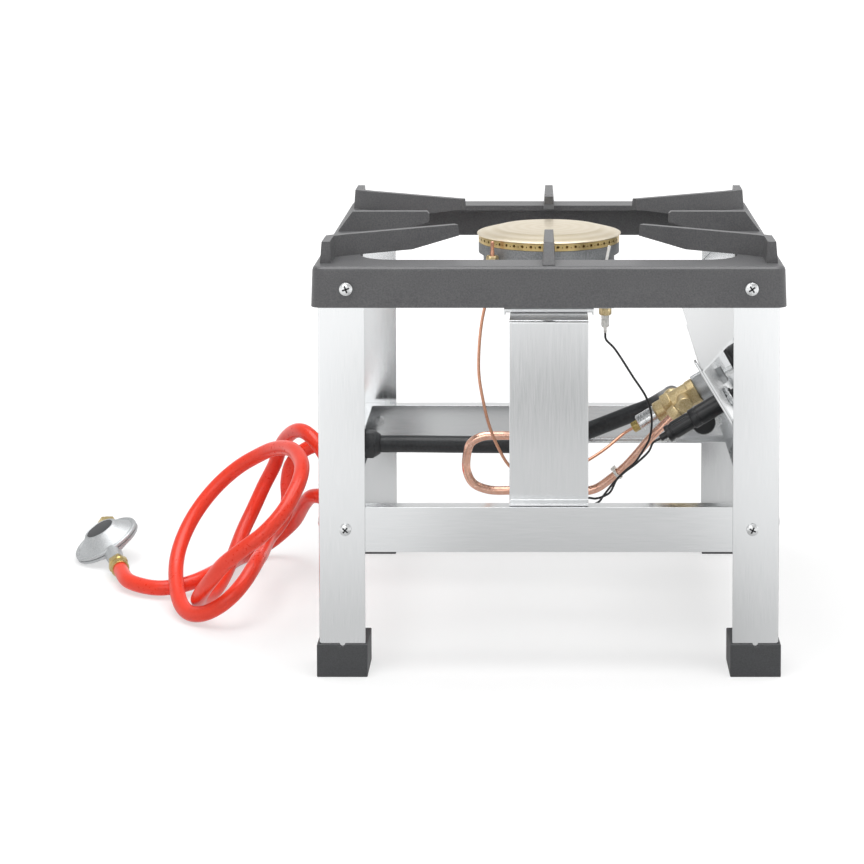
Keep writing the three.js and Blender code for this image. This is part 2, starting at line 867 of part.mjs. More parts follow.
function electrode() {
  const [x, y] = electrodeAt;
  return join(
    rod(ceramicRadius, [x, y, ceramicFoot], [x, y, ceramicHead], 16),
    rod(electrodeRod, [x, y, ceramicFoot - 5], [x, y, burnerBase + 20], 10),
    rod(electrodeRod, [x, y, burnerBase + 18], [x + 3.8, y, electrodeTip], 10),
  );
}

function buildBurner() {
  const group = new THREE.Group();
  const [px, py] = probeAt;
  const [ex, ey] = electrodeAt;
  const probeSeat = lugTop + fit;
  const electrodeSeat = earTop - earWall - fit;
  add(group, "burner_bridge", bridge(), stainless);
  add(group, "burner_plate", burnerPlate(), stainless);
  add(group, "burner_body", burnerBody(), castIron);
  add(group, "burner_ring", burnerRing(), brass);
  add(group, "burner_lid", burnerLid(), brass);
  add(group, "injector_elbow", injectorElbow(), brass);
  const probeNutBody = nut(probeNut, probeRadius, [px, py, probeSeat], [px, py, probeSeat + probeNutLength]);
  add(group, "thermocouple_nut", probeNutBody, brass);
  add(group, "ignition_electrode", electrode(), ceramic);
  const electrodeBase = [ex, ey, electrodeSeat - electrodeNutLength];
  const electrodeNutBody = nut(electrodeNut, ceramicRadius + fit, electrodeBase, [ex, ey, electrodeSeat]);
  add(group, "electrode_nut", electrodeNutBody, brass);
  return group;
}

// ---- control panel: a folded sheet whose lower face carries the valve and the igniter ----
const intoSheet = (drop, depth) => [
  panelApex[0] + drop * Math.cos(sheetTilt) - depth * Math.sin(sheetTilt),
  panelApex[1] - drop * Math.sin(sheetTilt) - depth * Math.cos(sheetTilt),
];

function controlPanel() {
  const foot = barTop + fit;
  const outer = [
    [panelFace, foot],
    [panelFace, panelLow],
    panelApex,
    [panelFace, panelHigh],
    [panelFace, panelHigh + panelLip],
  ];
  // The sheet's thickness goes inwards, so the drawn line is its outer face.
  const inner = outer.map(([x, z], i) => {
    const back = outer[Math.max(i - 1, 0)];
    const next = outer[Math.min(i + 1, outer.length - 1)];
    const here = new THREE.Vector2(x, z);
    const before = here.clone().sub(new THREE.Vector2(...back)).normalize();
    const after = new THREE.Vector2(...next).sub(here).normalize();
    if (i === 0) before.copy(after);
    if (i === outer.length - 1) after.copy(before);
    const middle = before.clone().add(after).normalize();
    const reach = panelWall / middle.dot(before);
    return [x - middle.y * reach, z + middle.x * reach];
  });
  const sheet = carried([...outer, ...inner.reverse()], -panelHalf, panelHalf);
  const hole = (y, radius) => {
    const [x0, z0] = intoSheet(controlDrop, 15);
    const [x1, z1] = intoSheet(controlDrop, -15);
    return rod(radius + fit, [x0, y, z0], [x1, y, z1], 24);
  };
  return cut(sheet, hole(valveY, neckRadius), hole(igniterY, igniterThread));
}

// A group at a control's place: its Z points straight out of the lower sheet, its X down it.
function controlGroup(y) {
  const group = new THREE.Group();
  const [x, z] = intoSheet(controlDrop, 0);
  group.position.set(x, y, z);
  group.rotation.y = sheetTilt;
  return group;
}

function buildValve() {
  const group = controlGroup(valveY);
  const carrierBack = -panelWall - fit - carrierThickness;
  const bonnetTop = carrierBack - fit;
  const bodyTop = bonnetTop - bonnetLength - fit;
  const bodyEnd = bodyTop - valveLength;
  const magnetEnd = bodyEnd - fit - magnetLength;
  const bore = spindleRadius + fit;
  const carrierEnd = -panelHalf - valveY + carrierInset;
  const carrierFace = carrierBack + carrierThickness;
  const tabFar = carrierEnd + tabWidth;
  const igniterPlace = igniterY - valveY;
  const carrier = join(
    box(-controlDrop + 2, carrierDrop, carrierEnd, carrierPast, carrierBack, carrierFace),
    box(-controlDrop - tabRise, -controlDrop + 3, carrierEnd, tabFar, carrierBack, carrierFace),
  );
  const through = rod(neckRadius + fit, [0, 0, -10], [0, 0, 5], 24);
  const wide = rod(igniterFlange + play, [0, igniterPlace, -10], [0, igniterPlace, 5], 24);
  add(group, "valve_plate", cut(carrier, through, wide), sheetSteel);
  const bonnet = turned(
    [
      [bore, bonnetTop - bonnetLength],
      [bonnetRadius - 2, bonnetTop - bonnetLength],
      [bonnetRadius, bonnetTop - bonnetLength + 4],
      [bonnetRadius, bonnetTop],
      [neckRadius, bonnetTop],
      [neckRadius, neckRise],
      [bore, neckRise],
    ],
    28,
  );
  add(group, "valve_bonnet", bonnet, greyCast);
  const elbow = [0, -outletOffset, -outletDepth];
  const body = join(
    rod(valveRadius, [0, 0, bodyEnd], [0, 0, bodyTop], 24),
    rod(outletNeck + 1, [0, 0, -outletDepth], [0, -outletOffset - outletNeck, -outletDepth], 16),
    rod(outletNeck, elbow, along(elbow, outletWay, outletStub), 16),
    rod(supplyPipe / 2 + 1.5, [0, 0, -inletDepth], [0, inletOffset, -inletDepth], 20),
  );
  add(group, "valve_body", body, brass);
  const magnet = join(
    rod(magnetRadius, [0, 0, magnetEnd], [0, 0, bodyEnd - fit], 20),
    rod(leadNut / Math.sqrt(3), [0, 0, magnetEnd - leadNutLength], [0, 0, magnetEnd + 0.5], 6),
  );
  add(group, "magnet_unit", magnet, greyCast);
  const spindle = rod(spindleRadius, [0, 0, -spindleFoot], [0, 0, spindleHead], 16);
  add(group, "valve_spindle", spindle, zinc);
  const top = knobStandoff + knobHeight;
  const gripFoot = knobStandoff + knobSkirt + 1.5;
  const knobShell = turned(
    [
      [0, knobStandoff],
      [knobRadius - 1, knobStandoff],
      [knobRadius, knobStandoff + 1],
      [knobRadius, knobStandoff + knobSkirt],
      [knobGrip + 1, gripFoot],
      [knobGrip, top - 1.5],
      [knobGrip - 1.5, top],
      [0, top],
    ],
    40,
  );
  const rib = box(-knobGrip, knobGrip, -knobRib / 2, knobRib / 2, gripFoot - 1, top - 0.5);
  const socket = rod(bore, [0, 0, knobStandoff - 1], [0, 0, spindleHead + fit], 16);
  add(group, "control_knob", cut(join(knobShell, rib), socket), blackPlastic);
  return group;
}

function buildIgniter() {
  const group = controlGroup(igniterY);
  const back = -panelWall - fit;
  const well = buttonRadius + fit;
  const body = turned(
    [
      [0, -igniterTail],
      [3, -igniterTail],
      [3, -igniterRear - 1],
      [igniterThread, -igniterRear],
      [igniterThread, -igniterStep],
      [igniterRadius, -igniterStep + 1.5],
      [igniterRadius, back - igniterFlangeLength],
      [igniterFlange, back - igniterFlangeLength],
      [igniterFlange, back],
      [igniterThread, back],
      [igniterThread, igniterRise],
      [well, igniterRise],
      [well, -buttonWell],
      [0, -buttonWell],
    ],
    28,
  );
  add(group, "igniter_body", body, blackPlastic);
  add(
    group,
    "igniter_nut",
    nut(igniterHex, igniterThread + fit, [0, 0, fit], [0, 0, fit + igniterHexLength]),
    blackPlastic,
  );
  const button = turned(
    [
      [0, -0.5],
      [buttonRadius, -0.5],
      [buttonRadius, buttonRise - 1],
      [buttonRadius - 1, buttonRise],
      [0, buttonRise],
    ],
    24,
  );
  add(group, "igniter_button", button, blackPlastic);
  return group;
}

// ---- gas pipes and leads, in the part's own frame ----
const outletLean = 45 * degrees; // outlet nut's slope down to the left
const outletWorld = new THREE.Vector3(-Math.cos(outletLean), 0, -Math.sin(outletLean));
const outletWay = outletWorld
  .clone()
  .applyAxisAngle(new THREE.Vector3(0, 1, 0), -sheetTilt)
  .toArray();
const [outletX, outletZ] = intoSheet(controlDrop, outletDepth);
const outletAt = [outletX, valveY - outletOffset, outletZ];
const [magnetX, magnetZ] = intoSheet(controlDrop, magnetReach());
const [tailX, tailZ] = intoSheet(controlDrop, igniterTail);

function magnetReach() {
  const bonnet = panelWall + fit + carrierThickness + fit + bonnetLength + fit;
  return bonnet + valveLength + fit + magnetLength + leadNutLength;
}

function gasPipeRoute() {
  const way = outletWorld.toArray();
  const end = along(outletAt, way, outletStub + outletNutLength + 2 * fit);
  const route = [
    [-injectorArm - fit, 0, injectorAxis],
    [-injectorArm - 9, 0, injectorAxis],
    [-62, 0, injectorAxis - 1],
    [-72.5, 0, injectorAxis - 7],
    [-76, 0, 141],
    [-76.5, 0, 126],
    [-70.5, 0, 113.5],
    [-56, 0, 107.2],
    [-30, 0, 106.6],
    [0, 0, 106],
    [30, -1, 105.6],
    [44, -3, 109.3],
    [55, -5, 117.2],
    [71.6, -9, 132.3],
    along(end, way, 24),
    along(end, way, 8),
    end,
  ];
  return route;
}

function supplyRun() {
  const [vx, vz] = intoSheet(controlDrop, inletDepth);
  const start = -barFace + barWall + fit + supplyNutLength + supplyNutCone + fit;
  const end = valveY + inletOffset + fit;
  const route = [
    [start, supplyY, barMid],
    [start + 20, supplyY, barMid],
    [-4, supplyY, barMid],
    [12, supplyY, barMid + 2.5],
    [40, supplyY, barMid + 13.5],
    [78, supplyY, barMid + 28.5],
    [98, supplyY - 3, barMid + 37],
    [vx - 5, supplyY - 15, vz - 12],
    [vx, end + 26, vz - 3],
    [vx, end + 12, vz],
    [vx, end, vz],
  ];
  return tube(route, supplyPipe, 12, 44);
}

function buildGasLine() {
  const group = new THREE.Group();
  const web = -barFace + barWall + fit;
  const coneStart = web + supplyNutLength;
  add(group, "copper_gas_pipe", tube(gasPipeRoute(), gasPipe, 12, 56), copper);
  add(group, "supply_pipe", supplyRun(), blackPipe);
  const coneEnd = [coneStart + supplyNutCone, supplyY, barMid];
  const collar = join(
    rod(supplyNut / Math.sqrt(3), [web, supplyY, barMid], [coneStart, supplyY, barMid], 6),
    rod(supplyNut / 2, [coneStart - 0.5, supplyY, barMid], coneEnd, 24, 9.5),
  );
  add(group, "supply_nut", collar, blackPipe);
  const barrelEnd = -barFace - inletReach;
  const hexFace = -legFace - 2 * fit;
  const connector = join(
    rod(inletRadius, [barrelEnd, supplyY, barMid], [web - fit, supplyY, barMid], 20),
    rod(inletHex / Math.sqrt(3), [hexFace - inletHexLength, supplyY, barMid], [hexFace, supplyY, barMid], 6),
  );
  add(group, "inlet_connector", connector, brass);
  const ferruleFace = barrelEnd - fit;
  const ferrule = rod(
    ferruleHex / Math.sqrt(3),
    [ferruleFace - ferruleLength, supplyY, barMid],
    [ferruleFace, supplyY, barMid],
    6,
  );
  add(group, "inlet_ferrule", ferrule, brass);
  const nutStart = along(outletAt, outletWorld.toArray(), outletStub + fit);
  const nutEnd = along(nutStart, outletWorld.toArray(), outletNutLength);
  add(group, "outlet_nut", rod(outletNut / Math.sqrt(3), nutStart, nutEnd, 6), brass);
  return group;
}

function buildLeads() {
  const group = new THREE.Group();
  const out = [-Math.sin(sheetTilt), 0, -Math.cos(sheetTilt)];
  const magnetEnd = along([magnetX, valveY, magnetZ], out, fit);
  const leadEnd = [along(magnetEnd, out, 8), magnetEnd];
  add(group, "thermocouple", thermocouple(leadEnd), copper);
  const [ex, ey] = electrodeAt;
  const tail = along([tailX, igniterY, tailZ], out, fit);
  const run = [
    [ex, ey, ceramicFoot - 5 - fit],
    [ex + 0.6, ey, ceramicFoot - 11],
    [ex + 8.2, ey, 249.5],
    [76.6, -44.4, 222.7],
    [88.2, -43.3, 204.4],
    [92.8, -42.2, 189.9],
    [93.5, -41, 176.9],
    [91, -39.4, 163.4],
    [86, -38.6, 154.1],
    [78.2, -37.2, 142.2],
    [69.4, -35.6, 134.1],
    [62, -33, 125.4],
    [56, -30, 113],
    [49.8, -27.2, 108.3],
    [42.7, -25.6, 105.9],
    [36, -26, 106.5],
    [32, -29, 104],
    [36, -31.5, 101.5],
    [45.1, -33.5, 104.6],
    [50.2, -38.9, 112.8],
    [60.1, -46.4, 127.7],
    [68.8, -53.9, 138.2],
    [78.6, -61.3, 147.8],
    [89.4, -70.5, 161],
    along(tail, out, 7),
    along(tail, out, 3),
    tail,
  ];
  add(group, "ignition_wire", tube(run, wireWidth, 8, 120), wireBlack);
  const pipe = smooth(gasPipeRoute());
  const tieAt = pipe.getPointAt(tiePlace).toArray();
  const way = pipe.getTangentAt(tiePlace).toArray();
  const half = tieWidth / 2;
  add(
    group,
    "cable_tie",
    nut(tieSize, gasPipe / 2 + play, along(tieAt, way, -half), along(tieAt, way, half)),
    whiteNylon,
  );
  return group;
}

// ---- hose: its route lies as chosen, from the inlet to the regulator ----
const hoseRoute = [
  [-213.6, 97, 126],
  [-221.6, 97, 126],
  [-238.8, 96.6, 119.5],
  [-251, 96.5, 105.2],
  [-254.6, 96.1, 88.1],
  [-253.8, 92.7, 72.4],
  [-256.2, 84.6, 59.1],
  [-262.3, 72.4, 49.9],
  [-267.2, 57.5, 45.8],
  [-268.5, 33.4, 45],
  [-267.4, -6.7, 47.7],
  [-267.7, -30.7, 49.6],
  [-270.1, -46.1, 46.6],
  [-275.6, -59.2, 39.2],
  [-284.9, -67.5, 29.3],
  [-297.3, -69.9, 19.6],
  [-310.9, -66.1, 12.1],
  [-323.3, -56.9, 8.5],
  [-333.1, -44.2, 9.2],
  [-342.2, -22.8, 15.5],
  [-349.7, 13.2, 31.6],
  [-348.9, 33.1, 45],
  [-342.8, 50.3, 60.8],
  [-331.9, 63.7, 77.5],
  [-316.7, 71.6, 94.3],
  [-298.4, 72.6, 109.8],
  [-279.2, 65.7, 122.4],
  [-262.8, 51.2, 132.4],
  [-241.6, 18.5, 140.6],
  [-228, -19, 137.7],
  [-225.9, -42.3, 131.9],
  [-229.5, -63.8, 122],
  [-238.3, -81.4, 108.2],
  [-253.4, -92, 93],
  [-272.5, -93.6, 78.6],
  [-290, -87.3, 63.5],
  [-302.7, -75.9, 46.6],
  [-318.2, -48.3, 22.1],
  [-322.2, -27.2, 11.5],
  [-318.6, -4, 7.2],
  [-311.6, 18.9, 9.3],
  [-303.7, 55.3, 23.9],
  [-296.7, 89.5, 43.6],
  [-289.4, 106.2, 59.2],
  [-280.3, 115.8, 79.2],
  [-269.5, 115.9, 100.6],
  [-261.9, 106.6, 121.5],
  [-252.3, 89.3, 136.4],
  [-241, 69.6, 145.9],
  [-231.1, 55.2, 146.9],
  [-219.7, 43.1, 139.7],
  [-209.6, 36.9, 126],
  [-203.5, 37.9, 109.2],
  [-202.5, 46, 93.1],
  [-206.8, 59.5, 81.6],
  [-214.5, 73.9, 77.8],
  [-223.5, 86.7, 77.3],
  [-232.4, 98.5, 73.1],
  [-239.3, 109.6, 64.1],
  [-253, 136.9, 38.4],
  [-263.1, 143, 27.2],
  [-275.5, 142.7, 17],
  [-288.2, 136.6, 10.3],
  [-299.3, 125.4, 7.5],
  [-306.2, 110.8, 7.7],
  [-310.2, 87.3, 10.4],
  [-319, 48.6, 14.3],
  [-325.5, 33.9, 14.3],
  [-336.1, 22.1, 12.8],
  [-350.5, 15.4, 10.7],
  [-366.4, 15.2, 9.4],
  [-382.4, 21.8, 9.3],
  [-398.9, 36, 9.8],
  [-409.49, 58.56, 10.93],
  [-412.18, 66.08, 11.34],
];

const bottleArm = (reach) => {
  const [x, y] = around(reach, 180 - bottleTurn);
  return [x, y, -armDrop];
};

function buildRegulator() {
  const group = new THREE.Group();
  group.position.set(...regulatorAt);
  group.rotation.set(
    regulatorRoll * degrees,
    regulatorPitch * degrees,
    regulatorHeading * degrees,
    "ZYX",
  );
  const body = join(
    turned(
      [
        [0, -bellyDepth],
        [bellyRadius, -bellyDepth],
        [discRadius - 2, -discRim],
        [discRadius, -discRim],
        [discRadius, 0],
        [0, 0],
      ],
      40,
    ),
    rod(outletRadius, [0, 0, -armDrop], [outletReach, 0, -armDrop], 16, outletRadius - 1),
    rod(bottleRadius, [0, 0, -armDrop], bottleArm(bottleReach), 16),
    rod(bottleStem, bottleArm(bottleReach - 1), bottleArm(bottleStemReach), 16),
  );
  const above = box(-discRadius - 1, discRadius + 1, -discRadius - 1, discRadius + 1, 0, 20);
  add(group, "regulator_body", body.subtract(above), greyCast);
  const cover = turned(
    [
      [0, fit],
      [discRadius, fit],
      [discRadius, discRim + fit],
      [discRadius - 2.5, discRim + fit],
      [coverTop + 1, coverHeight - 1],
      [coverTop, coverHeight],
      [0, coverHeight],
    ],
    40,
  );
  add(group, "regulator_cover", cover, greyCast);
  const nutStart = [outletReach + fit, 0, -armDrop];
  const nutEnd = [outletReach + fit + hoseNutLength, 0, -armDrop];
  add(group, "hose_nut", rod(hoseNut / Math.sqrt(3), nutStart, nutEnd, 6), brass);
  const bottle = bottleReach + fit;
  const bottleEnd = bottleArm(bottle + bottleNutLength);
  const bottleNutBody = nut(bottleNut, bottleStem + fit, bottleArm(bottle), bottleEnd);
  add(group, "regulator_inlet_nut", bottleNutBody, brass);
  return group;
}

range.add(buildStand());
range.add(buildBurner());
add(range, "control_panel", controlPanel(), stainless);
range.add(buildValve());
range.add(buildIgniter());
range.add(buildGasLine());
range.add(buildLeads());
range.add(buildRegulator());
add(range, "gas_hose", tube(hoseRoute, hoseWidth, 10, 80), hoseRed);

export default range;
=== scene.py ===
"""Stock pot range, dressed for its photograph. Metres, +Z up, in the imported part's own frame."""

import math

import bmesh
import bpy
import numpy as np
from mathutils import Matrix, Vector


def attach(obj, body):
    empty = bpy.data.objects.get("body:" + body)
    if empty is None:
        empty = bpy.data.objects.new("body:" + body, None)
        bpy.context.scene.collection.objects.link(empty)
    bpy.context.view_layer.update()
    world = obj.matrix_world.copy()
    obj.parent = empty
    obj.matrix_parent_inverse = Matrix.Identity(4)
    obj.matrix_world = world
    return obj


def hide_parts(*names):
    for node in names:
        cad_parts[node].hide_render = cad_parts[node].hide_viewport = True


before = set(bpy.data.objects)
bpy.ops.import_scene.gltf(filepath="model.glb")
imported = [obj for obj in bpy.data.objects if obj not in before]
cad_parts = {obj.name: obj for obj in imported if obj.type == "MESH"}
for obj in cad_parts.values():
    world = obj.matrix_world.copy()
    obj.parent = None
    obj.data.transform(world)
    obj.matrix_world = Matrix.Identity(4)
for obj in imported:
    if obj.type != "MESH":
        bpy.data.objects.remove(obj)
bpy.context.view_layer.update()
MM = 0.001
scene = bpy.context.scene
scene.view_settings.view_transform = "Standard"


# ---- small helpers ----
def node(tree, kind, inputs=None, **settings):
    """Adds a node with its settings; an input takes a value or another node's socket."""
    made = tree.nodes.new(kind)
    for key, value in settings.items():
        setattr(made, key, value)
    for key, value in (inputs or {}).items():
        if isinstance(value, bpy.types.NodeSocket):
            tree.links.new(value, made.inputs[key])
        else:
            made.inputs[key].default_value = value
    return made


def linear(code):
    """An sRGB hex colour as linear RGBA."""
    parts = [int(code[i : i + 2], 16) / 255 for i in (1, 3, 5)]
    return (*[p / 12.92 if p <= 0.04045 else ((p + 0.055) / 1.055) ** 2.4 for p in parts], 1.0)


def maths(tree, operation, first, second=0.0, **settings):
    """The result of one Math node."""
    return node(tree, "ShaderNodeMath", {0: first, 1: second}, operation=operation, **settings).outputs[0]


def spread(tree, value, start, end, low=0.0, high=1.0, **settings):
    """A value taken from the range start to end into the range low to high."""
    limits = {"Value": value, "From Min": start, "From Max": end, "To Min": low, "To Max": high}
    return node(tree, "ShaderNodeMapRange", limits, **settings).outputs[0]


def at(x, y, z):
    """A place without a turn."""
    return Matrix.Translation((x, y, z))


def turn(axis, degrees):
    """A turn about one of the main axes."""
    return Matrix.Rotation(math.radians(degrees), 4, axis)


def aimed(start, end):
    """The frame whose Z runs from start to end, in millimetres."""
    way = Vector(end) - Vector(start)
    return Matrix.Translation(Vector(start)) @ way.to_track_quat("Z", "Y").to_matrix().to_4x4()


# ---- camera, floor and light ----
camera = bpy.data.objects.new("photo_camera", bpy.data.cameras.new("photo_camera"))
scene.collection.objects.link(camera)
camera.location = (0, -2.0358, 0.66266)
camera.rotation_euler = (math.radians(86.866), 0, 0)
camera.data.sensor_width = 36
camera.data.lens = 92.4
camera.data.shift_x = -0.1353
camera.data.shift_y = -0.4848
scene.camera = camera


def studio():
    """A white sweep under soft light from above and in front."""
    world = bpy.data.worlds.new("white_studio")
    scene.world = world
    world.use_nodes = True
    tree = world.node_tree
    tree.nodes.clear()
    path = node(tree, "ShaderNodeLightPath")
    # Glossy metal sees a white wall up to about 12 degrees and a dimmer ceiling above it.
    way = node(tree, "ShaderNodeSeparateXYZ", {0: node(tree, "ShaderNodeTexCoord").outputs["Generated"]})
    wall = spread(tree, way.outputs["Z"], 0.2, 0.34, 1.0, 0.62)
    lit = node(tree, "ShaderNodeMix", {0: path.outputs["Is Glossy Ray"], 2: 0.32, 3: wall})
    direct, through = path.outputs["Is Camera Ray"], path.outputs["Is Transmission Ray"]
    seen = maths(tree, "ADD", direct, through, use_clamp=True)
    level = node(tree, "ShaderNodeMix", {0: seen, 2: lit.outputs[0], 3: 1.0})
    sky = node(tree, "ShaderNodeBackground", {"Color": (1, 1, 1, 1), "Strength": level.outputs[0]})
    node(tree, "ShaderNodeOutputWorld", {"Surface": sky.outputs[0]})
    for name, place, size, power, target in [
        ("overhead_softbox", (0, -0.1, 2.0), (2.2, 1.8), 46, (0, 0, 0.2)),
        ("front_softbox", (-0.9, -2.6, 1.5), (1.6, 1.2), 13, (0, 0, 0.2)),
        ("side_softbox", (2.2, -0.6, 1.2), (1.0, 1.4), 6, (0, 0, 0.2)),
    ]:
        lamp = bpy.data.lights.new(name, "AREA")
        lamp.shape = "RECTANGLE"
        lamp.size, lamp.size_y = size
        lamp.energy = power
        box = bpy.data.objects.new(name, lamp)
        box.location = place
        box.rotation_euler = (Vector(target) - Vector(place)).to_track_quat("-Z", "Y").to_euler()
        scene.collection.objects.link(box)

    sweep = bpy.data.meshes.new("white_floor")
    rim = [(-30, -30, 0), (30, -30, 0), (30, 30, 0), (-30, 30, 0)]
    sweep.from_pydata(rim, [], [(0, 1, 2, 3)])
    floor = bpy.data.objects.new("white_floor", sweep)
    scene.collection.objects.link(floor)
    paper = bpy.data.materials.new("white_paper")
    paper.use_nodes = True
    tree = paper.node_tree
    tree.nodes.clear()
    path = node(tree, "ShaderNodeLightPath")
    place = node(tree, "ShaderNodeTexCoord").outputs["Object"]
    out = node(tree, "ShaderNodeVectorMath", {0: place}, operation="LENGTH").outputs["Value"]
    # The eye sees the paper close to white, whiter with distance, and still with its soft shadow.
    shaded = node(tree, "ShaderNodeBsdfDiffuse", {"Color": (0.44, 0.44, 0.44, 1)})
    lift = spread(tree, out, 0.5, 2.0, 0.58, 1.0)
    glow = node(tree, "ShaderNodeEmission", {"Color": (1, 1, 1, 1), "Strength": lift})
    eye = node(tree, "ShaderNodeAddShader", {0: shaded.outputs[0], 1: glow.outputs[0]})
    # Painted reflection: for metal the paper glows grey close by and brighter further off, with a painted dim
    # strip down the middle and a dim patch in front that darken the steel's reflections.
    near = spread(tree, out, 0.39, 0.7, 0.73, 1.0)
    far = spread(tree, out, 0.7, 1.6, 0.0, 0.27)
    level = maths(tree, "ADD", near, far)
    aside = node(tree, "ShaderNodeVectorMath", {0: place, 1: (0.026, 0, 0)}, operation="SUBTRACT")
    across = maths(
        tree, "ABSOLUTE", node(tree, "ShaderNodeSeparateXYZ", {0: aside.outputs["Vector"]}).outputs["X"]
    )
    strip = spread(tree, across, 0.1, 0.19, 0.76, 1.0, interpolation_type="SMOOTHSTEP")
    gap = node(tree, "ShaderNodeVectorMath", {0: place, 1: (0, -1.28, 0)}, operation="DISTANCE")
    patch = spread(tree, gap.outputs["Value"], 0.02, 0.42, 0.42, 1.0, interpolation_type="SMOOTHSTEP")
    mirrored = maths(tree, "MULTIPLY", level, maths(tree, "MULTIPLY", strip, patch))
    painted_reflection = node(tree, "ShaderNodeEmission", {"Color": (1, 1, 1, 1), "Strength": mirrored})
    matt = node(tree, "ShaderNodeBsdfDiffuse", {"Color": linear("#f2f2f2")})
    light = node(tree, "ShaderNodeMixShader", {
        0: path.outputs["Is Glossy Ray"], 1: matt.outputs[0], 2: painted_reflection.outputs[0],
    })
    both = node(tree, "ShaderNodeMixShader", {
        0: path.outputs["Is Camera Ray"], 1: light.outputs[0], 2: eye.outputs[0],
    })
    node(tree, "ShaderNodeOutputMaterial", {"Surface": both.outputs[0]})
    sweep.materials.append(paper)


studio()


# ---- finishes ----
def begun(name, **values):
    """A new material: itself, its tree, its shader and the object's own coordinates in metres."""
    made = bpy.data.materials.new(name)
    made.use_nodes = True
    tree = made.node_tree
    tree.nodes.clear()
    shader = node(tree, "ShaderNodeBsdfPrincipled", values)
    node(tree, "ShaderNodeOutputMaterial", {"Surface": shader.outputs[0]})
    place = node(tree, "ShaderNodeTexCoord").outputs["Object"]
    return made, tree, shader, place


def grained(name, dark, light, size, roughness, bump=0.2, depth=0.1, stretch=(1, 1, 1), blotch=0.0, **values):
    """Grain of a size in mm between two colours, with its relief in mm; blotch is a wide unevenness."""
    made, tree, shader, place = begun(name, **values)
    centred = node(tree, "ShaderNodeMapping", {"Vector": place, "Scale": stretch})
    grain = node(tree, "ShaderNodeTexNoise", {
        "Vector": centred.outputs[0], "Scale": 1000 / size, "Detail": 3.0, "Roughness": 0.6,
    })
    mixed = spread(tree, grain.outputs["Fac"], 0.3, 0.7)
    if blotch:
        wide = node(tree, "ShaderNodeTexNoise", {"Vector": place, "Scale": 1000 / (size * 22), "Detail": 2.0})
        uneven = spread(tree, wide.outputs["Fac"], 0.3, 0.7, -blotch, blotch)
        mixed = maths(tree, "ADD", mixed, uneven, use_clamp=True)
    colour = node(tree, "ShaderNodeMix", {"Factor": mixed, 6: linear(dark), 7: linear(light)}, data_type="RGBA")
    relief = node(tree, "ShaderNodeBump", {
        "Strength": bump, "Distance": depth * MM, "Height": grain.outputs["Fac"],
    })
    tree.links.new(colour.outputs[2], shader.inputs["Base Color"])
    tree.links.new(spread(tree, mixed, 0, 1, *roughness), shader.inputs["Roughness"])
    tree.links.new(relief.outputs[0], shader.inputs["Normal"])
    return made


def spun(name, dark, light, centre, pitch, roughness, depth=0.02, **values):
    """Lathe marks: rings of a pitch in mm about an upright axis, broken up by a fine noise."""
    made, tree, shader, place = begun(name, **values)
    centred = node(tree, "ShaderNodeMapping", {"Vector": place, "Location": [-c * MM for c in centre]})
    rings = node(tree, "ShaderNodeTexWave", {
        "Vector": centred.outputs[0], "Scale": 1000 / pitch / 20, "Distortion": 0.6, "Detail": 2.0,
        "Detail Scale": 3.0,
    }, wave_type="RINGS", rings_direction="Z")
    haze = node(tree, "ShaderNodeTexNoise", {"Vector": place, "Scale": 45.0, "Detail": 3.0})
    both = node(tree, "ShaderNodeMix", {"Factor": 0.55, 2: rings.outputs["Fac"], 3: haze.outputs["Fac"]})
    colour = node(tree, "ShaderNodeMix", {
        "Factor": both.outputs[0], 6: linear(dark), 7: linear(light),
    }, data_type="RGBA")
    relief = node(tree, "ShaderNodeBump", {
        "Strength": 0.4, "Distance": depth * MM, "Height": rings.outputs["Fac"],
    })
    tree.links.new(colour.outputs[2], shader.inputs["Base Color"])
    tree.links.new(spread(tree, both.outputs[0], 0, 1, *roughness), shader.inputs["Roughness"])
    tree.links.new(relief.outputs[0], shader.inputs["Normal"])
    return made


# Cast iron under a matt grey sprayed enamel: an even grain of about 1 mm.
enamel = grained("sprayed_enamel", "#4f4f51", "#626263", 1.3, (0.34, 0.46), bump=0.5, depth=0.3, blotch=0.12)
# Stainless sheet with a directional brush of long scratches: along X, along Y and upright.
steel_tones = ("#e0e2e3", "#e8e9ea")
brush = {"bump": 0.04, "depth": 0.015, "Metallic": 1.0}
steel_x = grained("brushed_stainless_along_x", *steel_tones, 0.4, (0.16, 0.21), stretch=(0.02, 1, 1), **brush)
steel_y = grained("brushed_stainless_along_y", *steel_tones, 0.4, (0.16, 0.21), stretch=(1, 0.02, 1), **brush)
steel_z = grained("brushed_stainless_upright", *steel_tones, 0.4, (0.16, 0.21), stretch=(1, 1, 0.02), **brush)
# The panel's sheet is a little more matt.
panel_steel = grained("matt_brushed_stainless", *steel_tones, 0.4, (0.22, 0.27), stretch=(1, 0.02, 1), **brush)
# Moulded polypropylene with a spark-eroded skin.
cap_plastic = grained("moulded_foot_plastic", "#3a3b3d", "#4a4b4d", 0.9, (0.5, 0.62), bump=0.35, depth=0.12)
# Black ABS and phenolic mouldings, smoother than the feet.
black_plastic = grained("moulded_black_plastic", "#141517", "#222326", 1.2, (0.3, 0.42), bump=0.15, depth=0.06)
# Black stoved paint over drawn steel pipe.
pipe_paint = grained(
    "stoved_black_paint", "#1d1f21", "#303235", 2.2, (0.3, 0.45), bump=0.2, depth=0.08, blotch=0.3
)
# Sand-cast iron of the burner under heat-proof aluminium paint, rough and uneven.
burner_cast = grained(
    "painted_burner_casting", "#77797b", "#9d9fa1", 1.5, (0.42, 0.6), bump=0.6, depth=0.35, blotch=0.35,
    Metallic=0.55
)
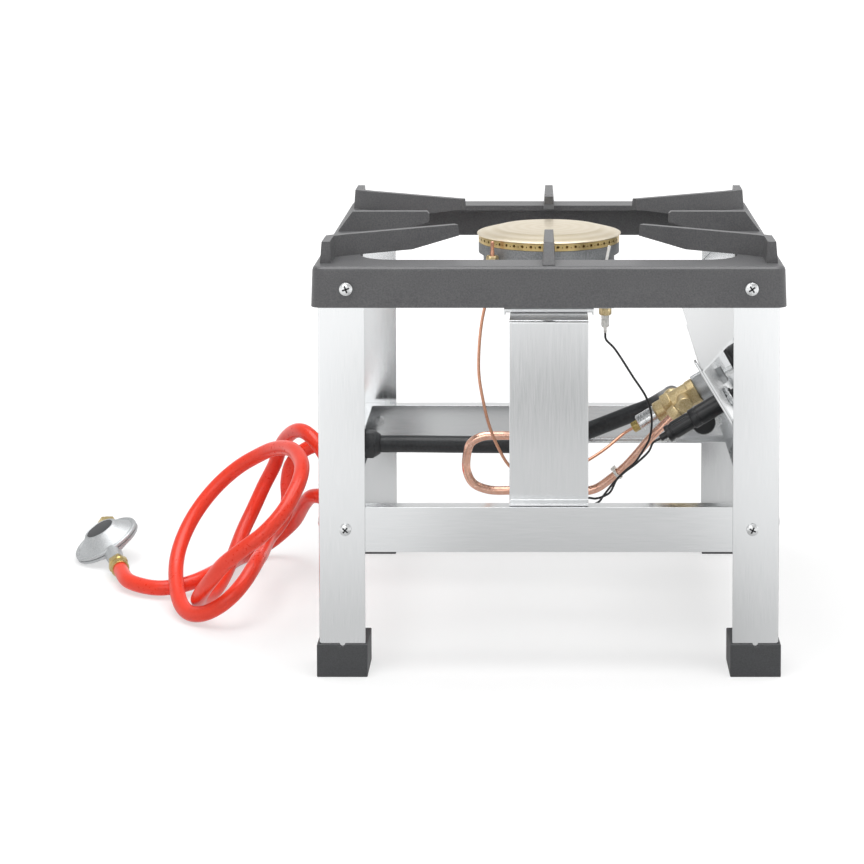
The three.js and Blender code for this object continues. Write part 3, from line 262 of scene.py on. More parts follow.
# Zinc plate on pressed steel screws, and painted shade for their recesses: a dark finish for the fill that
# stands in for the shadow in each cross.
zinc = grained("bright_zinc_plate", "#d6d8d9", "#e8e9e9", 0.8, (0.22, 0.3), bump=0.04, depth=0.02, Metallic=1.0)
painted_recess_shade = grained("painted_shade_in_screw_recess", "#191a1c", "#292a2c", 1.0, (0.5, 0.65), bump=0.1, depth=0.03)
# Zinc die casting, shot and left bare.
die_cast = grained(
    "bare_die_casting", "#acafb1", "#cfd1d2", 0.9, (0.42, 0.56), bump=0.2, depth=0.1, blotch=0.2, Metallic=0.8
)
# Hot-pressed brass, yellow and slightly dull between machined faces.
forged_brass = grained(
    "pressed_brass", "#c6ae7e", "#e6d5ab", 1.3, (0.36, 0.48), bump=0.15, depth=0.07, blotch=0.2, Metallic=0.85
)
gold_nut = grained(
    "yellow_passivated_nut", "#b39a55", "#dbc58a", 1.0, (0.25, 0.4), bump=0.15, depth=0.05, blotch=0.4,
    Metallic=1.0
)
# Soft-drawn copper tube, pink and faintly scratched along its length.
copper = grained(
    "drawn_copper", "#ecb59c", "#f6cbb7", 3.5, (0.2, 0.28), bump=0.04, depth=0.02, blotch=0.1, Metallic=1.0
)
lead_copper = grained(
    "thin_copper_lead", "#d89a7c", "#ebb79c", 1.2, (0.26, 0.38), bump=0.1, depth=0.03, Metallic=1.0
)
# Plasticised PVC hose, extruded: an even skin with a soft gloss and a faint haze.
hose_skin = grained(
    "extruded_red_hose", "#ee3a22", "#f2422a", 3.0, (0.27, 0.32), bump=0.0, blotch=0.2,
    **{"Specular IOR Level": 0.45}
)
# Glazed ceramic insulator and bare nylon.
glaze = grained("glazed_insulator", "#f7f5ee", "#fdfcf8", 2.0, (0.16, 0.28), bump=0.08, depth=0.04)
nylon = grained("natural_nylon", "#dcdcd6", "#efefea", 1.4, (0.35, 0.5), bump=0.1, depth=0.04)
wire_skin = grained("silicone_wire_cover", "#161719", "#26272a", 1.0, (0.4, 0.55), bump=0.1, depth=0.03)
# Brass lid faced on a lathe, and the ported brass ring below it.
lid_brass = spun("faced_brass_lid", "#e8d8b6", "#f8eedb", (0, 0, 347), 1.6, (0.26, 0.38), Metallic=1.0)
ring_brass = spun("turned_brass_ring", "#d2ae6c", "#f2d99c", (0, 0, 344), 1.1, (0.2, 0.34), Metallic=1.0)


# ---- meshes ----
def loop_tube(path, radius, sides):
    """Rings of points along a path."""
    ways = np.gradient(path, axis=0)
    ways /= np.linalg.norm(ways, axis=1)[:, None]
    side = np.cross(ways[0], (0.0, 0.0, 1.0))
    if np.linalg.norm(side) < 0.1:
        side = np.cross(ways[0], (0.0, 1.0, 0.0))
    rings = []
    angles = np.arange(sides) / sides * 2 * math.pi
    for point, way in zip(path, ways):
        side = side - way * (side @ way)
        side /= np.linalg.norm(side)
        other = np.cross(way, side)
        rings.append(point + radius * (np.outer(np.cos(angles), side) + np.outer(np.sin(angles), other)))
    return np.array(rings)


class Shape:
    """Closed shells gathered into one mesh, in millimetres."""

    def __init__(self):
        self.verts = []
        self.faces = []

    def shell(self, verts, faces, place=Matrix.Identity(4)):
        """Adds one closed shell, moved by place."""
        start = len(self.verts)
        self.verts += [place @ Vector(v) for v in verts]
        self.faces += [tuple(start + i for i in f) for f in faces]
        return self

    def lathe(self, profile, place=Matrix.Identity(4), sides=64):
        """A closed outline [radius, height], counter-clockwise, turned about Z."""
        verts, faces, rows = [], [], []
        for r, z in profile:
            if r < 1e-6:
                rows.append([len(verts)] * sides)
                verts.append((0, 0, z))
            else:
                rows.append(list(range(len(verts), len(verts) + sides)))
                verts += [(r * math.cos(a), r * math.sin(a), z) for a in np.arange(sides) / sides * 2 * math.pi]
        for low, high in zip(rows, rows[1:] + rows[:1]):
            for i in range(sides):
                j = (i + 1) % sides
                ring = list(dict.fromkeys([low[i], low[j], high[j], high[i]]))
                if len(ring) > 2:
                    faces.append(ring)
        return self.shell(verts, faces, place)

    def prism(self, outline, low, high, place=Matrix.Identity(4)):
        """A counter-clockwise flat outline raised from low to high."""
        n = len(outline)
        verts = [(x, y, low) for x, y in outline] + [(x, y, high) for x, y in outline]
        faces = [list(range(n))[::-1], list(range(n, 2 * n))]
        faces += [[i, (i + 1) % n, n + (i + 1) % n, n + i] for i in range(n)]
        return self.shell(verts, faces, place)

    def block(self, lo, hi, place=Matrix.Identity(4)):
        """A box between two opposite corners."""
        return self.prism([(lo[0], lo[1]), (hi[0], lo[1]), (hi[0], hi[1]), (lo[0], hi[1])], lo[2], hi[2], place)

    def tube(self, path, radius, sides=24):
        """A round bar along a path, closed at both ends."""
        rings = loop_tube(np.array(path, float), radius, sides)
        verts = rings.reshape(-1, 3).tolist()
        faces = []
        for k in range(len(rings) - 1):
            for i in range(sides):
                j = (i + 1) % sides
                faces.append([k * sides + i, k * sides + j, (k + 1) * sides + j, (k + 1) * sides + i])
        last = (len(rings) - 1) * sides
        faces += [list(range(sides))[::-1], list(range(last, last + sides))]
        return self.shell(verts, faces)

    def hexagon(self, size, length, place=Matrix.Identity(4), bore=0.0, chamfer=0.9):
        """A nut across its flats, with its corners turned down at both ends."""
        end_radius, corner = size / 2 - 0.2, size / math.sqrt(3) * 0.985
        sides = 48
        angles = [i / sides * 2 * math.pi for i in range(sides)]
        rows = []
        for z, at_end in ((0.0, True), (chamfer, False), (length - chamfer, False), (length, True)):
            row = []
            for a in angles:
                edge = size / 2 / math.cos((a % (math.pi / 3)) - math.pi / 6)
                r = end_radius if at_end else min(edge, corner)
                row.append((r * math.cos(a), r * math.sin(a), z))
            rows.append(row)
        hole = []
        if bore:
            hole = [[(bore * math.cos(a), bore * math.sin(a), z) for a in angles] for z in (length, 0.0)]
        verts = [v for row in rows + hole for v in row]
        faces = []
        count = len(rows) + len(hole)
        for k in range(count if bore else count - 1):
            for i in range(sides):
                j = (i + 1) % sides
                up = ((k + 1) % count) * sides
                faces.append([k * sides + i, k * sides + j, up + j, up + i])
        if not bore:
            faces += [list(range(sides))[::-1], list(range(3 * sides, 4 * sides))]
        return self.shell(verts, faces, place)


def baked(piece):
    """Gives a piece the mesh that its modifiers make, and clears them."""
    bpy.context.view_layer.update()
    mesh = bpy.data.meshes.new_from_object(piece.evaluated_get(bpy.context.evaluated_depsgraph_get()))
    piece.modifiers.clear()
    piece.data = mesh
    return mesh


def dressed(name, mesh, material, body, replaces=(), slot=None, bevel=0.0, sharp=35, steps=2):
    """Makes a finished piece of a mesh in metres: rounded edges, smooth shading, its body and its nodes."""
    piece = bpy.data.objects.new(name, mesh)
    scene.collection.objects.link(piece)
    if bevel:
        soft = piece.modifiers.new("edge_rounding", "BEVEL")
        soft.width = bevel * MM
        soft.segments = steps
        soft.limit_method = "ANGLE"
        soft.angle_limit = math.radians(sharp)
        soft.use_clamp_overlap = True
        mesh = baked(piece)
    mesh.shade_smooth()
    mesh.set_sharp_from_angle(angle=math.radians(sharp))
    if bevel:
        # Flat faces keep their own normals, so that sheet metal mirrors without waves.
        even = piece.modifiers.new("flat_faces_stay_flat", "WEIGHTED_NORMAL")
        even.weight = 100
        even.keep_sharp = True
        mesh = baked(piece)
    mesh.name = name
    mesh.materials.clear()
    mesh.materials.append(material)
    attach(piece, body)
    if replaces:
        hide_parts(*replaces)
    return piece


def made(shape):
    """A shape as a mesh in metres."""
    mesh = bpy.data.meshes.new("made")
    mesh.from_pydata([v * MM for v in shape.verts], [], shape.faces)
    mesh.validate()
    return mesh


def welded(cad):
    """A copy of a CAD node's mesh with its loose triangles joined into whole faces."""
    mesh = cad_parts[cad].data.copy()
    work = bmesh.new()
    work.from_mesh(mesh)
    bmesh.ops.remove_doubles(work, verts=work.verts, dist=1e-5)
    bmesh.ops.dissolve_limit(work, angle_limit=math.radians(0.6), verts=work.verts, edges=work.edges)
    work.to_mesh(mesh)
    work.free()
    return mesh


def from_cad(name, cad, material, slot, **finish):
    """A piece of the stand with the shape of its CAD node."""
    return dressed(name, welded(cad), material, "stand", [cad], slot, **finish)


def smooth_path(points, step):
    """The smooth line through points (centripetal Catmull-Rom), at even steps in the points' own unit."""
    p = [np.array(q, float) for q in points]
    p = [2 * p[0] - p[1], *p, 2 * p[-1] - p[-2]]
    dense = []
    for a, b, c, d in zip(p, p[1:], p[2:], p[3:]):
        t0, t1, t2 = (max(np.linalg.norm(v - u), 1e-9) ** 0.5 for u, v in ((a, b), (b, c), (c, d)))
        m1 = ((b - a) / t0 - (c - a) / (t0 + t1) + (c - b) / t1) * t1
        m2 = ((c - b) / t1 - (d - b) / (t1 + t2) + (d - c) / t2) * t1
        s = np.linspace(0, 1, 24, endpoint=False)[:, None]
        near = (2 * s**3 - 3 * s**2 + 1) * b + (s**3 - 2 * s**2 + s) * m1
        dense.append(near + (3 * s**2 - 2 * s**3) * c + (s**3 - s**2) * m2)
    dense = np.vstack([*dense, p[-2][None]])
    run = np.concatenate([[0], np.cumsum(np.linalg.norm(np.diff(dense, axis=0), axis=1))])
    even = np.linspace(0, run[-1], max(int(run[-1] / step), 2) + 1)
    return np.stack([np.interp(even, run, dense[:, i]) for i in range(3)], axis=1)


# ---- gas hose and its route, inlet to regulator (the same points as the CAD's) ----
hose_route = [
    (-213.6, 97, 126), (-221.6, 97, 126), (-238.8, 96.6, 119.5), (-251, 96.5, 105.2), (-254.6, 96.1, 88.1),
    (-253.8, 92.7, 72.4), (-256.2, 84.6, 59.1), (-262.3, 72.4, 49.9), (-267.2, 57.5, 45.8), (-268.5, 33.4, 45),
    (-267.4, -6.7, 47.7), (-267.7, -30.7, 49.6), (-270.1, -46.1, 46.6), (-275.6, -59.2, 39.2),
    (-284.9, -67.5, 29.3), (-297.3, -69.9, 19.6), (-310.9, -66.1, 12.1), (-323.3, -56.9, 8.5),
    (-333.1, -44.2, 9.2), (-342.2, -22.8, 15.5), (-349.7, 13.2, 31.6), (-348.9, 33.1, 45), (-342.8, 50.3, 60.8),
    (-331.9, 63.7, 77.5), (-316.7, 71.6, 94.3), (-298.4, 72.6, 109.8), (-279.2, 65.7, 122.4),
    (-262.8, 51.2, 132.4), (-241.6, 18.5, 140.6), (-228, -19, 137.7), (-225.9, -42.3, 131.9),
    (-229.5, -63.8, 122), (-238.3, -81.4, 108.2), (-253.4, -92, 93), (-272.5, -93.6, 78.6), (-290, -87.3, 63.5),
    (-302.7, -75.9, 46.6), (-318.2, -48.3, 22.1), (-322.2, -27.2, 11.5), (-318.6, -4, 7.2), (-311.6, 18.9, 9.3),
    (-303.7, 55.3, 23.9), (-296.7, 89.5, 43.6), (-289.4, 106.2, 59.2), (-280.3, 115.8, 79.2),
    (-269.5, 115.9, 100.6), (-261.9, 106.6, 121.5), (-252.3, 89.3, 136.4), (-241, 69.6, 145.9),
    (-231.1, 55.2, 146.9), (-219.7, 43.1, 139.7), (-209.6, 36.9, 126), (-203.5, 37.9, 109.2),
    (-202.5, 46, 93.1), (-206.8, 59.5, 81.6), (-214.5, 73.9, 77.8), (-223.5, 86.7, 77.3), (-232.4, 98.5, 73.1),
    (-239.3, 109.6, 64.1), (-253, 136.9, 38.4), (-263.1, 143, 27.2), (-275.5, 142.7, 17), (-288.2, 136.6, 10.3),
    (-299.3, 125.4, 7.5), (-306.2, 110.8, 7.7), (-310.2, 87.3, 10.4), (-319, 48.6, 14.3), (-325.5, 33.9, 14.3),
    (-336.1, 22.1, 12.8), (-350.5, 15.4, 10.7), (-366.4, 15.2, 9.4), (-382.4, 21.8, 9.3), (-398.9, 36, 9.8),
    (-409.49, 58.56, 10.93), (-412.18, 66.08, 11.34),
]
hose_radius = 7.0
hose_line = smooth_path(hose_route, 2.5)
hose_tube = made(Shape().tube(hose_line, hose_radius, 28))
hose = dressed("hose_tube", hose_tube, hose_skin, "stand", ["gas_hose"], "hose_red", sharp=60)

# The frames of the valve, the igniter and the regulator, each with Z along its axis.
panel_x, panel_z, panel_slope = 159.573, 211.72, 58.96
kit_frames = {
    "valve": at(panel_x, 10, panel_z) @ turn("Y", panel_slope),
    "igniter": at(panel_x, -80, panel_z) @ turn("Y", panel_slope),
    "regulator": at(-439.1, 135.6, 18.7) @ turn("Z", -70.3) @ turn("Y", 2.95) @ turn("X", 28.5),
}


# ---- geometry-node trees ----
def grown(name, sockets, build):
    """A geometry tree with named inputs; build gets its input node and returns the last geometry socket."""
    tree = bpy.data.node_groups.new(name, "GeometryNodeTree")
    keys = {}
    for label, kind in {"Geometry": "Geometry", **sockets, "Finish": "Material"}.items():
        keys[label] = tree.interface.new_socket(
            name=label, in_out="INPUT", socket_type="NodeSocket" + kind
        ).identifier
    tree.interface.new_socket(name="Geometry", in_out="OUTPUT", socket_type="NodeSocketGeometry")
    given = node(tree, "NodeGroupInput").outputs
    last = node(tree, "GeometryNodeRealizeInstances", {0: build(tree, given)})
    painted = node(tree, "GeometryNodeSetMaterial", {"Geometry": last.outputs[0], "Material": given["Finish"]})
    node(tree, "NodeGroupOutput", {0: painted.outputs[0]})
    return tree, keys


def from_tree(tree_and_keys, base, values):
    """Runs a tree on a base mesh with its inputs set by identifier, and returns the plain mesh."""
    tree, keys = tree_and_keys
    carrier = bpy.data.objects.new("carrier", base)
    scene.collection.objects.link(carrier)
    modifier = carrier.modifiers.new(tree.name, "NODES")
    modifier.node_group = tree
    for label, value in values.items():
        modifier[keys[label]] = value
    mesh = baked(carrier)
    bpy.data.objects.remove(carrier)
    return mesh


def seats(places):
    """Points in millimetres, each with the way that it faces and its turn, as a mesh of loose vertices."""
    mesh = bpy.data.meshes.new("seats")
    mesh.from_pydata([Vector(point) * MM for point, _, _ in places], [], [])
    ways = mesh.attributes.new("facing", "FLOAT_VECTOR", "POINT")
    ways.data.foreach_set("vector", [x for _, way, _ in places for x in way])
    spins = mesh.attributes.new("spin", "FLOAT", "POINT")
    spins.data.foreach_set("value", [math.radians(degrees) for _, _, degrees in places])
    return mesh


def scaled(tree, socket, share):
    """A share of a length."""
    return maths(tree, "MULTIPLY", socket, share)


def half(tree, socket):
    """Half of a length."""
    return scaled(tree, socket, 0.5)


def upright(tree, height):
    """A vector straight up."""
    return node(tree, "ShaderNodeCombineXYZ", {"Z": height}).outputs[0]


def moved(tree, geometry, shift):
    """A geometry moved by a vector."""
    return node(tree, "GeometryNodeTransform", {"Geometry": geometry, "Translation": shift}).outputs[0]


def cylinder(tree, sides, radius, depth):
    """An upright cylinder round the origin."""
    inputs = {"Vertices": sides, "Radius": radius, "Depth": depth}
    return node(tree, "GeometryNodeMeshCylinder", inputs).outputs[0]


def circle(tree, count, radius):
    """A flat ring of points."""
    return node(tree, "GeometryNodeMeshCircle", {"Vertices": count, "Radius": radius}).outputs[0]


def drilled(tree, body, tool):
    """A body less a tool."""
    inputs = {"Mesh 1": body, "Mesh 2": tool}
    return node(tree, "GeometryNodeMeshBoolean", inputs, operation="DIFFERENCE", solver="EXACT").outputs[0]


def placed(tree, points, piece, rotation):
    """A piece on each point."""
    inputs = {"Points": points, "Instance": piece, "Rotation": rotation}
    return node(tree, "GeometryNodeInstanceOnPoints", inputs).outputs[0]


def outwards(tree, **settings):
    """The turn that points an axis away from the origin."""
    place = node(tree, "GeometryNodeInputPosition").outputs[0]
    return node(tree, "FunctionNodeAlignRotationToVector", {"Vector": place}, **settings).outputs[0]


def facing(tree):
    """The turn that points Z along the seat's facing, with its own spin about that way."""
    way = node(tree, "GeometryNodeInputNamedAttribute", {"Name": "facing"}, data_type="FLOAT_VECTOR")
    spin = node(tree, "GeometryNodeInputNamedAttribute", {"Name": "spin"}, data_type="FLOAT")
    aim = node(tree, "FunctionNodeAlignRotationToVector", {"Vector": way.outputs[0]}, axis="Z")
    about = node(tree, "FunctionNodeAxisAngleToRotation", {"Axis": (0, 0, 1), "Angle": spin.outputs[0]})
    turns = {0: aim.outputs[0], 1: about.outputs[0]}
    return node(tree, "FunctionNodeRotateRotation", turns, rotation_space="LOCAL").outputs[0]


def crossed_bars(tree, width, long, short, depth, lift):
    """The two bars of a cross recess: long and short are shares of the head's width."""
    bars = []
    for x, y in ((long, short), (short, long)):
        sides = {"X": scaled(tree, width, x), "Y": scaled(tree, width, y), "Z": depth}
        size = node(tree, "ShaderNodeCombineXYZ", sides).outputs[0]
        bar = node(tree, "GeometryNodeMeshCube", {"Size": size}).outputs[0]
        bars.append(moved(tree, bar, upright(tree, lift)))
    return bars


def pan_head(tree, given):
    """A crowned head with a cross recess, its shank and its nut, set on each seat."""
    width, height = given["Head Width"], given["Head Height"]
    # The crown is a flattened ball, cut to the head's width by a can.
    ball = node(tree, "GeometryNodeMeshUVSphere", {"Segments": 40, "Rings": 24, "Radius": 1.0})
    reach = scaled(tree, width, 0.6)
    size = node(tree, "ShaderNodeCombineXYZ", {"X": reach, "Y": reach, "Z": scaled(tree, height, 1.118)})
    sunk = upright(tree, scaled(tree, height, -0.118))
    shaping = {"Geometry": ball.outputs[0], "Translation": sunk, "Scale": size.outputs[0]}
    dome = node(tree, "GeometryNodeTransform", shaping).outputs[0]
    can = cylinder(tree, 40, half(tree, width), scaled(tree, height, 2.0))
    crown = node(tree, "GeometryNodeMeshBoolean", {"Mesh 2": dome}, operation="INTERSECT", solver="EXACT")
    tree.links.new(moved(tree, can, upright(tree, height)), crown.inputs["Mesh 2"])
    cut = node(
        tree, "GeometryNodeMeshBoolean", {"Mesh 1": crown.outputs[0]}, operation="DIFFERENCE", solver="EXACT"
    )
    for bar in crossed_bars(tree, width, 0.58, 0.13, height, height):
        tree.links.new(bar, cut.inputs["Mesh 2"])
    whole = node(tree, "GeometryNodeJoinGeometry", {0: cut.outputs[0]})
    run = given["Shank Reach"]
    shank = cylinder(tree, 24, half(tree, given["Shank Width"]), run)
    tree.links.new(moved(tree, shank, upright(tree, scaled(tree, run, -0.5))), whole.inputs[0])
    nut = cylinder(tree, 6, scaled(tree, given["Nut Width"], 0.577), given["Nut Height"])
    behind = maths(tree, "ADD", half(tree, given["Nut Height"]), given["Nut Face"])
    tree.links.new(moved(tree, nut, upright(tree, scaled(tree, behind, -1.0))), whole.inputs[0])
    return placed(tree, given["Geometry"], whole.outputs[0], facing(tree))


def recess_shade_fill(tree, given):
    """Painted shade: a dark cross set into each screw head's recess, standing in for the shadow there."""
    width, height = given["Head Width"], given["Head Height"]
    whole = node(tree, "GeometryNodeJoinGeometry")
    for bar in crossed_bars(tree, width, 0.56, 0.115, scaled(tree, height, 0.3), scaled(tree, height, 0.66)):
        tree.links.new(bar, whole.inputs[0])
    return placed(tree, given["Geometry"], whole.outputs[0], facing(tree))


def ports(tree, given):
    """A brass band pierced by an even row of gas ports, with a small pilot port between each two."""
    outer = cylinder(tree, 200, given["Radius"], given["Height"])
    inside = maths(tree, "SUBTRACT", given["Radius"], given["Wall"])
    inner = cylinder(tree, 120, inside, scaled(tree, given["Height"], 2.0))
    drills = node(tree, "GeometryNodeJoinGeometry")
    for width, shift in (("Port Width", 0.0), ("Pilot Width", 0.5)):
        row = circle(tree, given["Ports"], given["Radius"])
        bit = cylinder(tree, 14, half(tree, given[width]), scaled(tree, given["Wall"], 4.0))
        bits = placed(tree, row, bit, outwards(tree, axis="Z"))
        step = maths(tree, "DIVIDE", (shift + 0.5) * 2 * math.pi, given["Ports"])
        spin = node(tree, "ShaderNodeCombineXYZ", {"Z": step}).outputs[0]
        turned = node(tree, "GeometryNodeTransform", {"Geometry": bits, "Rotation": spin}).outputs[0]
        lifted = moved(tree, turned, (0, 0, (0.4 - 0.9 * shift) * MM))
        tree.links.new(node(tree, "GeometryNodeRealizeInstances", {0: lifted}).outputs[0], drills.inputs[0])
    band = drilled(tree, drilled(tree, outer, inner), drills.outputs[0])
    return moved(tree, band, upright(tree, given["Middle"]))


def around(tree, given):
    """The given bar, set upright round a circle and pointing outwards: ribs, flutes and knurls."""
    row = circle(tree, given["Count"], given["Radius"])
    return placed(tree, row, given["Geometry"], outwards(tree, axis="X", pivot_axis="Z"))


def lengths(*labels):
    """Inputs that are all lengths."""
    return {label: "Float" for label in labels}


screw_sizes = ("Head Width", "Head Height", "Shank Width", "Shank Reach", "Nut Face", "Nut Width", "Nut Height")
screw_tree = grown("pan_head_screws", lengths(*screw_sizes), pan_head)
recess_shade_tree = grown("recess_shade_fills", lengths("Head Width", "Head Height"), recess_shade_fill)
ring_sizes = {
    **lengths("Radius", "Wall", "Height", "Middle"), "Ports": "Int", **lengths("Port Width", "Pilot Width"),
}
port_tree = grown("ported_ring", ring_sizes, ports)
rib_tree = grown("ribs_around", {"Count": "Int", "Radius": "Float"}, around)


def ribs(shape, count, radius, place):
    """Copies of a rib shape round the Z axis of a place, in metres."""
    mesh = from_tree(rib_tree, made(shape), {"Count": count, "Radius": radius * MM})
    mesh.transform(Matrix.Translation(place.translation * MM) @ place.to_quaternion().to_matrix().to_4x4())
    return mesh


def joined(*meshes):
    """Several meshes as one."""
    work = bmesh.new()
    for mesh in meshes:
        work.from_mesh(mesh)
    mesh = bpy.data.meshes.new("joined")
    work.to_mesh(mesh)
    work.free()
    return mesh


# ---- grate, legs, foot caps and crossbars ----
quarters = {"front_left": (-1, -1), "front_right": (1, -1), "rear_left": (-1, 1), "rear_right": (1, 1)}
from_cad("pan_grate", "top_grate", enamel, "enamel", bevel=1.3, sharp=28, steps=3)
for quarter, (sx, sy) in quarters.items():
    from_cad("corner_leg_" + quarter, "leg_" + quarter, steel_z, "stainless", bevel=0.2, sharp=40)
    from_cad("rubber_foot_" + quarter, "foot_cap_" + quarter, cap_plastic, "cap_plastic", bevel=0.5, sharp=30)
for side, steel in (("front", steel_x), ("rear", steel_x), ("left", steel_y), ("right", steel_y)):
    from_cad("channel_bar_" + side, "crossbar_" + side, steel, "stainless", bevel=0.3, sharp=40)

# Screws: where each one sits in millimetres, the way that it faces and how far it is turned.
bar_height, bar_face, rim_height, rim_face = 126, 194.3, 331.5, 200.3
spins = {"front_left": 20, "front_right": 35, "rear_left": 5, "rear_right": 60}
corners = [(sx, sy, spins[quarter]) for quarter, (sx, sy) in quarters.items()]
bar_seats = [((sx * 171.5, sy * bar_face, bar_height), (0, sy, 0), spin + 30) for sx, sy, spin in corners]
bar_seats += [((sx * bar_face, sy * 168, bar_height), (sx, 0, 0), spin) for sx, sy, spin in corners]
rim_seats = [((sx * 169.5, sy * rim_face, rim_height), (0, sy, 0), spin) for sx, sy, spin in corners]


def screws(places, *sizes):
    """Screws of sizes in millimetres, in the order of screw_sizes."""
    values = {label: size * MM for label, size in zip(screw_sizes, sizes)}
    return from_tree(screw_tree, seats(places), {**values, "Finish": zinc})


bar_screws = screws(bar_seats, 10, 3, 4.8, 10, 3.9, 8.2, 3.6)
rim_screws = screws(rim_seats, 11, 3, 5.2, 14.2, 8.1, 8.6, 3.6)
dressed(
    "crossbar_screws", bar_screws, zinc, "stand",
    ["bar_screw_" + q + s for q in quarters for s in ("", "_side")], "zinc"
)
dressed("grate_screws", rim_screws, zinc, "stand", ["rim_screw_" + q for q in quarters], "zinc")
# Painted shade: a dark cross in each recess stands in for the shadow inside it.
for name, places, width in (("crossbar_recess_shade", bar_seats, 10), ("grate_recess_shade", rim_seats, 11)):
    values = {"Head Width": width * MM, "Head Height": 3 * MM, "Finish": painted_recess_shade}
    shade_fills = from_tree(recess_shade_tree, seats(places), values)
    dressed(name, shade_fills, painted_recess_shade, "stand", slot="zinc")

# ---- burner bridge, plate, burner, ring and lid ----
from_cad("bridge_strip", "burner_bridge", steel_z, "stainless", bevel=0.5, sharp=30)
from_cad("burner_shelf", "burner_plate", steel_x, "stainless", bevel=0.3, sharp=30)
from_cad("burner_casting", "burner_body", burner_cast, "cast_iron", bevel=0.9, sharp=24)
ring_values = {
    "Radius": 65 * MM, "Wall": 8 * MM, "Height": 6.2 * MM, "Middle": 344.1 * MM, "Ports": 50,
    "Port Width": 2.5 * MM, "Pilot Width": 1.1 * MM, "Finish": ring_brass,
}
ring = from_tree(port_tree, bpy.data.meshes.new("ring_base"), ring_values)
dressed("ported_ring", ring, ring_brass, "burner_ring", ["burner_ring"], "brass")
lid_outline = [
    (0, 344.5), (56.7, 344.5), (56.7, 347.5), (65.6, 347.5), (66.3, 347.9), (66.4, 348.5), (65.8, 348.85),
    (58, 350.9), (49.4, 353.1), (48.1, 353.45), (46.6, 353.6), (0, 353.6),
]
lid = made(Shape().lathe(lid_outline, sides=160))
dressed("domed_lid", lid, lid_brass, "burner_lid", ["burner_lid"], "brass", sharp=50)

elbow = Shape().lathe([
    (0, 150.2), (7.2, 150.2), (8, 151), (8, 173.2), (5, 173.2), (5, 179), (3.4, 184.2), (0, 184.2),
], sides=32)
elbow.tube([(-27, 0, 158.2), (0, 0, 158.2)], 5.5).hexagon(14, 10, aimed((-36, 0, 158.2), (-26, 0, 158.2)))
dressed("gas_elbow", made(elbow), forged_brass, "stand", ["injector_elbow"], "brass", sharp=30)
probe_nut = Shape().hexagon(10, 6.3, at(-51, -51, 328.7), bore=2.6)
dressed("probe_nut", made(probe_nut), forged_brass, "stand", ["thermocouple_nut"], "brass", sharp=30)
insulator_nut = Shape().hexagon(10, 6.9, at(51, -45, 280.1), bore=3.8)
dressed("insulator_nut", made(insulator_nut), forged_brass, "stand", ["electrode_nut"], "brass", sharp=30)
spark = Shape().lathe([
    (0, 268.8), (2.6, 268.8), (3.5, 270), (3.5, 276), (3.1, 276.5), (3.5, 277), (3.5, 296.8), (2.6, 298),
    (0, 298),
], at(51, -45, 0), 24)
spark.tube([(51, -45, 263.8), (51, -45, 324), (51.4, -45, 326.5), (54.8, -45, 343)], 1.35, 12)
dressed("spark_electrode", made(spark), glaze, "stand", ["ignition_electrode"], "ceramic", sharp=40)

# ---- control panel, valve and knob ----
from_cad("folded_panel", "control_panel", panel_steel, "stainless", sharp=35)
from_cad("carrier_plate", "valve_plate", steel_y, "sheet_steel", bevel=0.3, sharp=35)
valve = kit_frames["valve"]
bonnet = Shape().lathe([
    (4.3, -24.9), (10, -24.9), (12, -20.9), (12, -3.9), (8, -3.9), (8, 4.4), (7.4, 5), (4.3, 5),
], valve, 40)
for side in (-1, 1):
    bonnet.lathe([
        (0, -24.9), (3.4, -24.9), (3.8, -24.4), (3.8, -8), (3.2, -7), (0, -7),
    ], valve @ at(side * 9.4, 3, 0), 20)
dressed("valve_cap", made(bonnet), die_cast, "stand", ["valve_bonnet"], "grey_cast", sharp=35)
brass_body = Shape().lathe([
    (0, -68.6), (9.5, -68.6), (10.4, -67.8), (10.4, -60), (11.4, -59), (11.4, -33), (12.2, -32), (12.2, -25.2),
    (0, -25.2),
], valve, 40)
brass_body.hexagon(23, 9, valve @ at(0, 0, -59.5))
brass_body.lathe([(0, 0), (7, 0), (7, 29), (6.2, 30), (0, 30)], valve @ aimed((0, 0, -40), (0, -30, -40)), 28)
brass_body.lathe([
    (0, 0), (8.4, 0), (8.4, 17), (9.7, 18), (9.7, 23.4), (9.2, 24), (0, 24),
], valve @ aimed((0, 0, -50), (0, 24, -50)), 32)
brass_body.block((-6.5, -13.5, -38), (6.5, -4, -26), valve)
# The outlet leaves the valve at 45 degrees, towards the burner's gas pipe.
way = Vector((-math.sqrt(0.5), 0, -math.sqrt(0.5)))
outlet = Vector((125.3, -14, 191.1))
brass_body.tube([outlet, outlet + way * 8], 6, 28)
dressed("valve_forging", made(brass_body), forged_brass, "stand", ["valve_body"], "brass", bevel=0.4, sharp=30)
magnet = Shape().lathe([
    (0, -87.9), (7.6, -87.9), (8.5, -87), (8.5, -80.6), (7.9, -80), (8.5, -79.4), (8.5, -69.7), (8, -68.9),
    (0, -68.9),
], valve, 36)
dressed("safety_magnet", made(magnet), zinc, "stand", ["magnet_unit"], "grey_cast", sharp=30)
lead_nut = Shape().hexagon(9, 6.9, valve @ at(0, 0, -94.9), chamfer=0.7)
dressed("magnet_lead_nut", made(lead_nut), gold_nut, "stand", slot="brass", sharp=30)
cap_place = aimed((142.2, -20, 175.6), (142.2, -21, 175.6))
cap = Shape().lathe([(0, -3.2), (9.8, -3.2), (10.6, -2.6), (10.6, 2.6), (9.8, 3.2), (0, 3.2)], cap_place, 48)
cap.tube([(139.5, -8, 180), (142.2, -18, 175.6)], 5.4, 28)
teeth = Shape().prism([(-0.5, -0.5), (0.4, -0.3), (0.4, 0.3), (-0.5, 0.5)], -2.7, 2.7)
cap_mesh = joined(made(cap), ribs(teeth, 44, 10.6, cap_place))
dressed("blank_cap", cap_mesh, black_plastic, "stand", slot="black_plastic", sharp=35)
washer = Shape().hexagon(14, 2.2, aimed((141.6, -16.6, 176.6), (141.3, -14, 177.2)), chamfer=0.5)
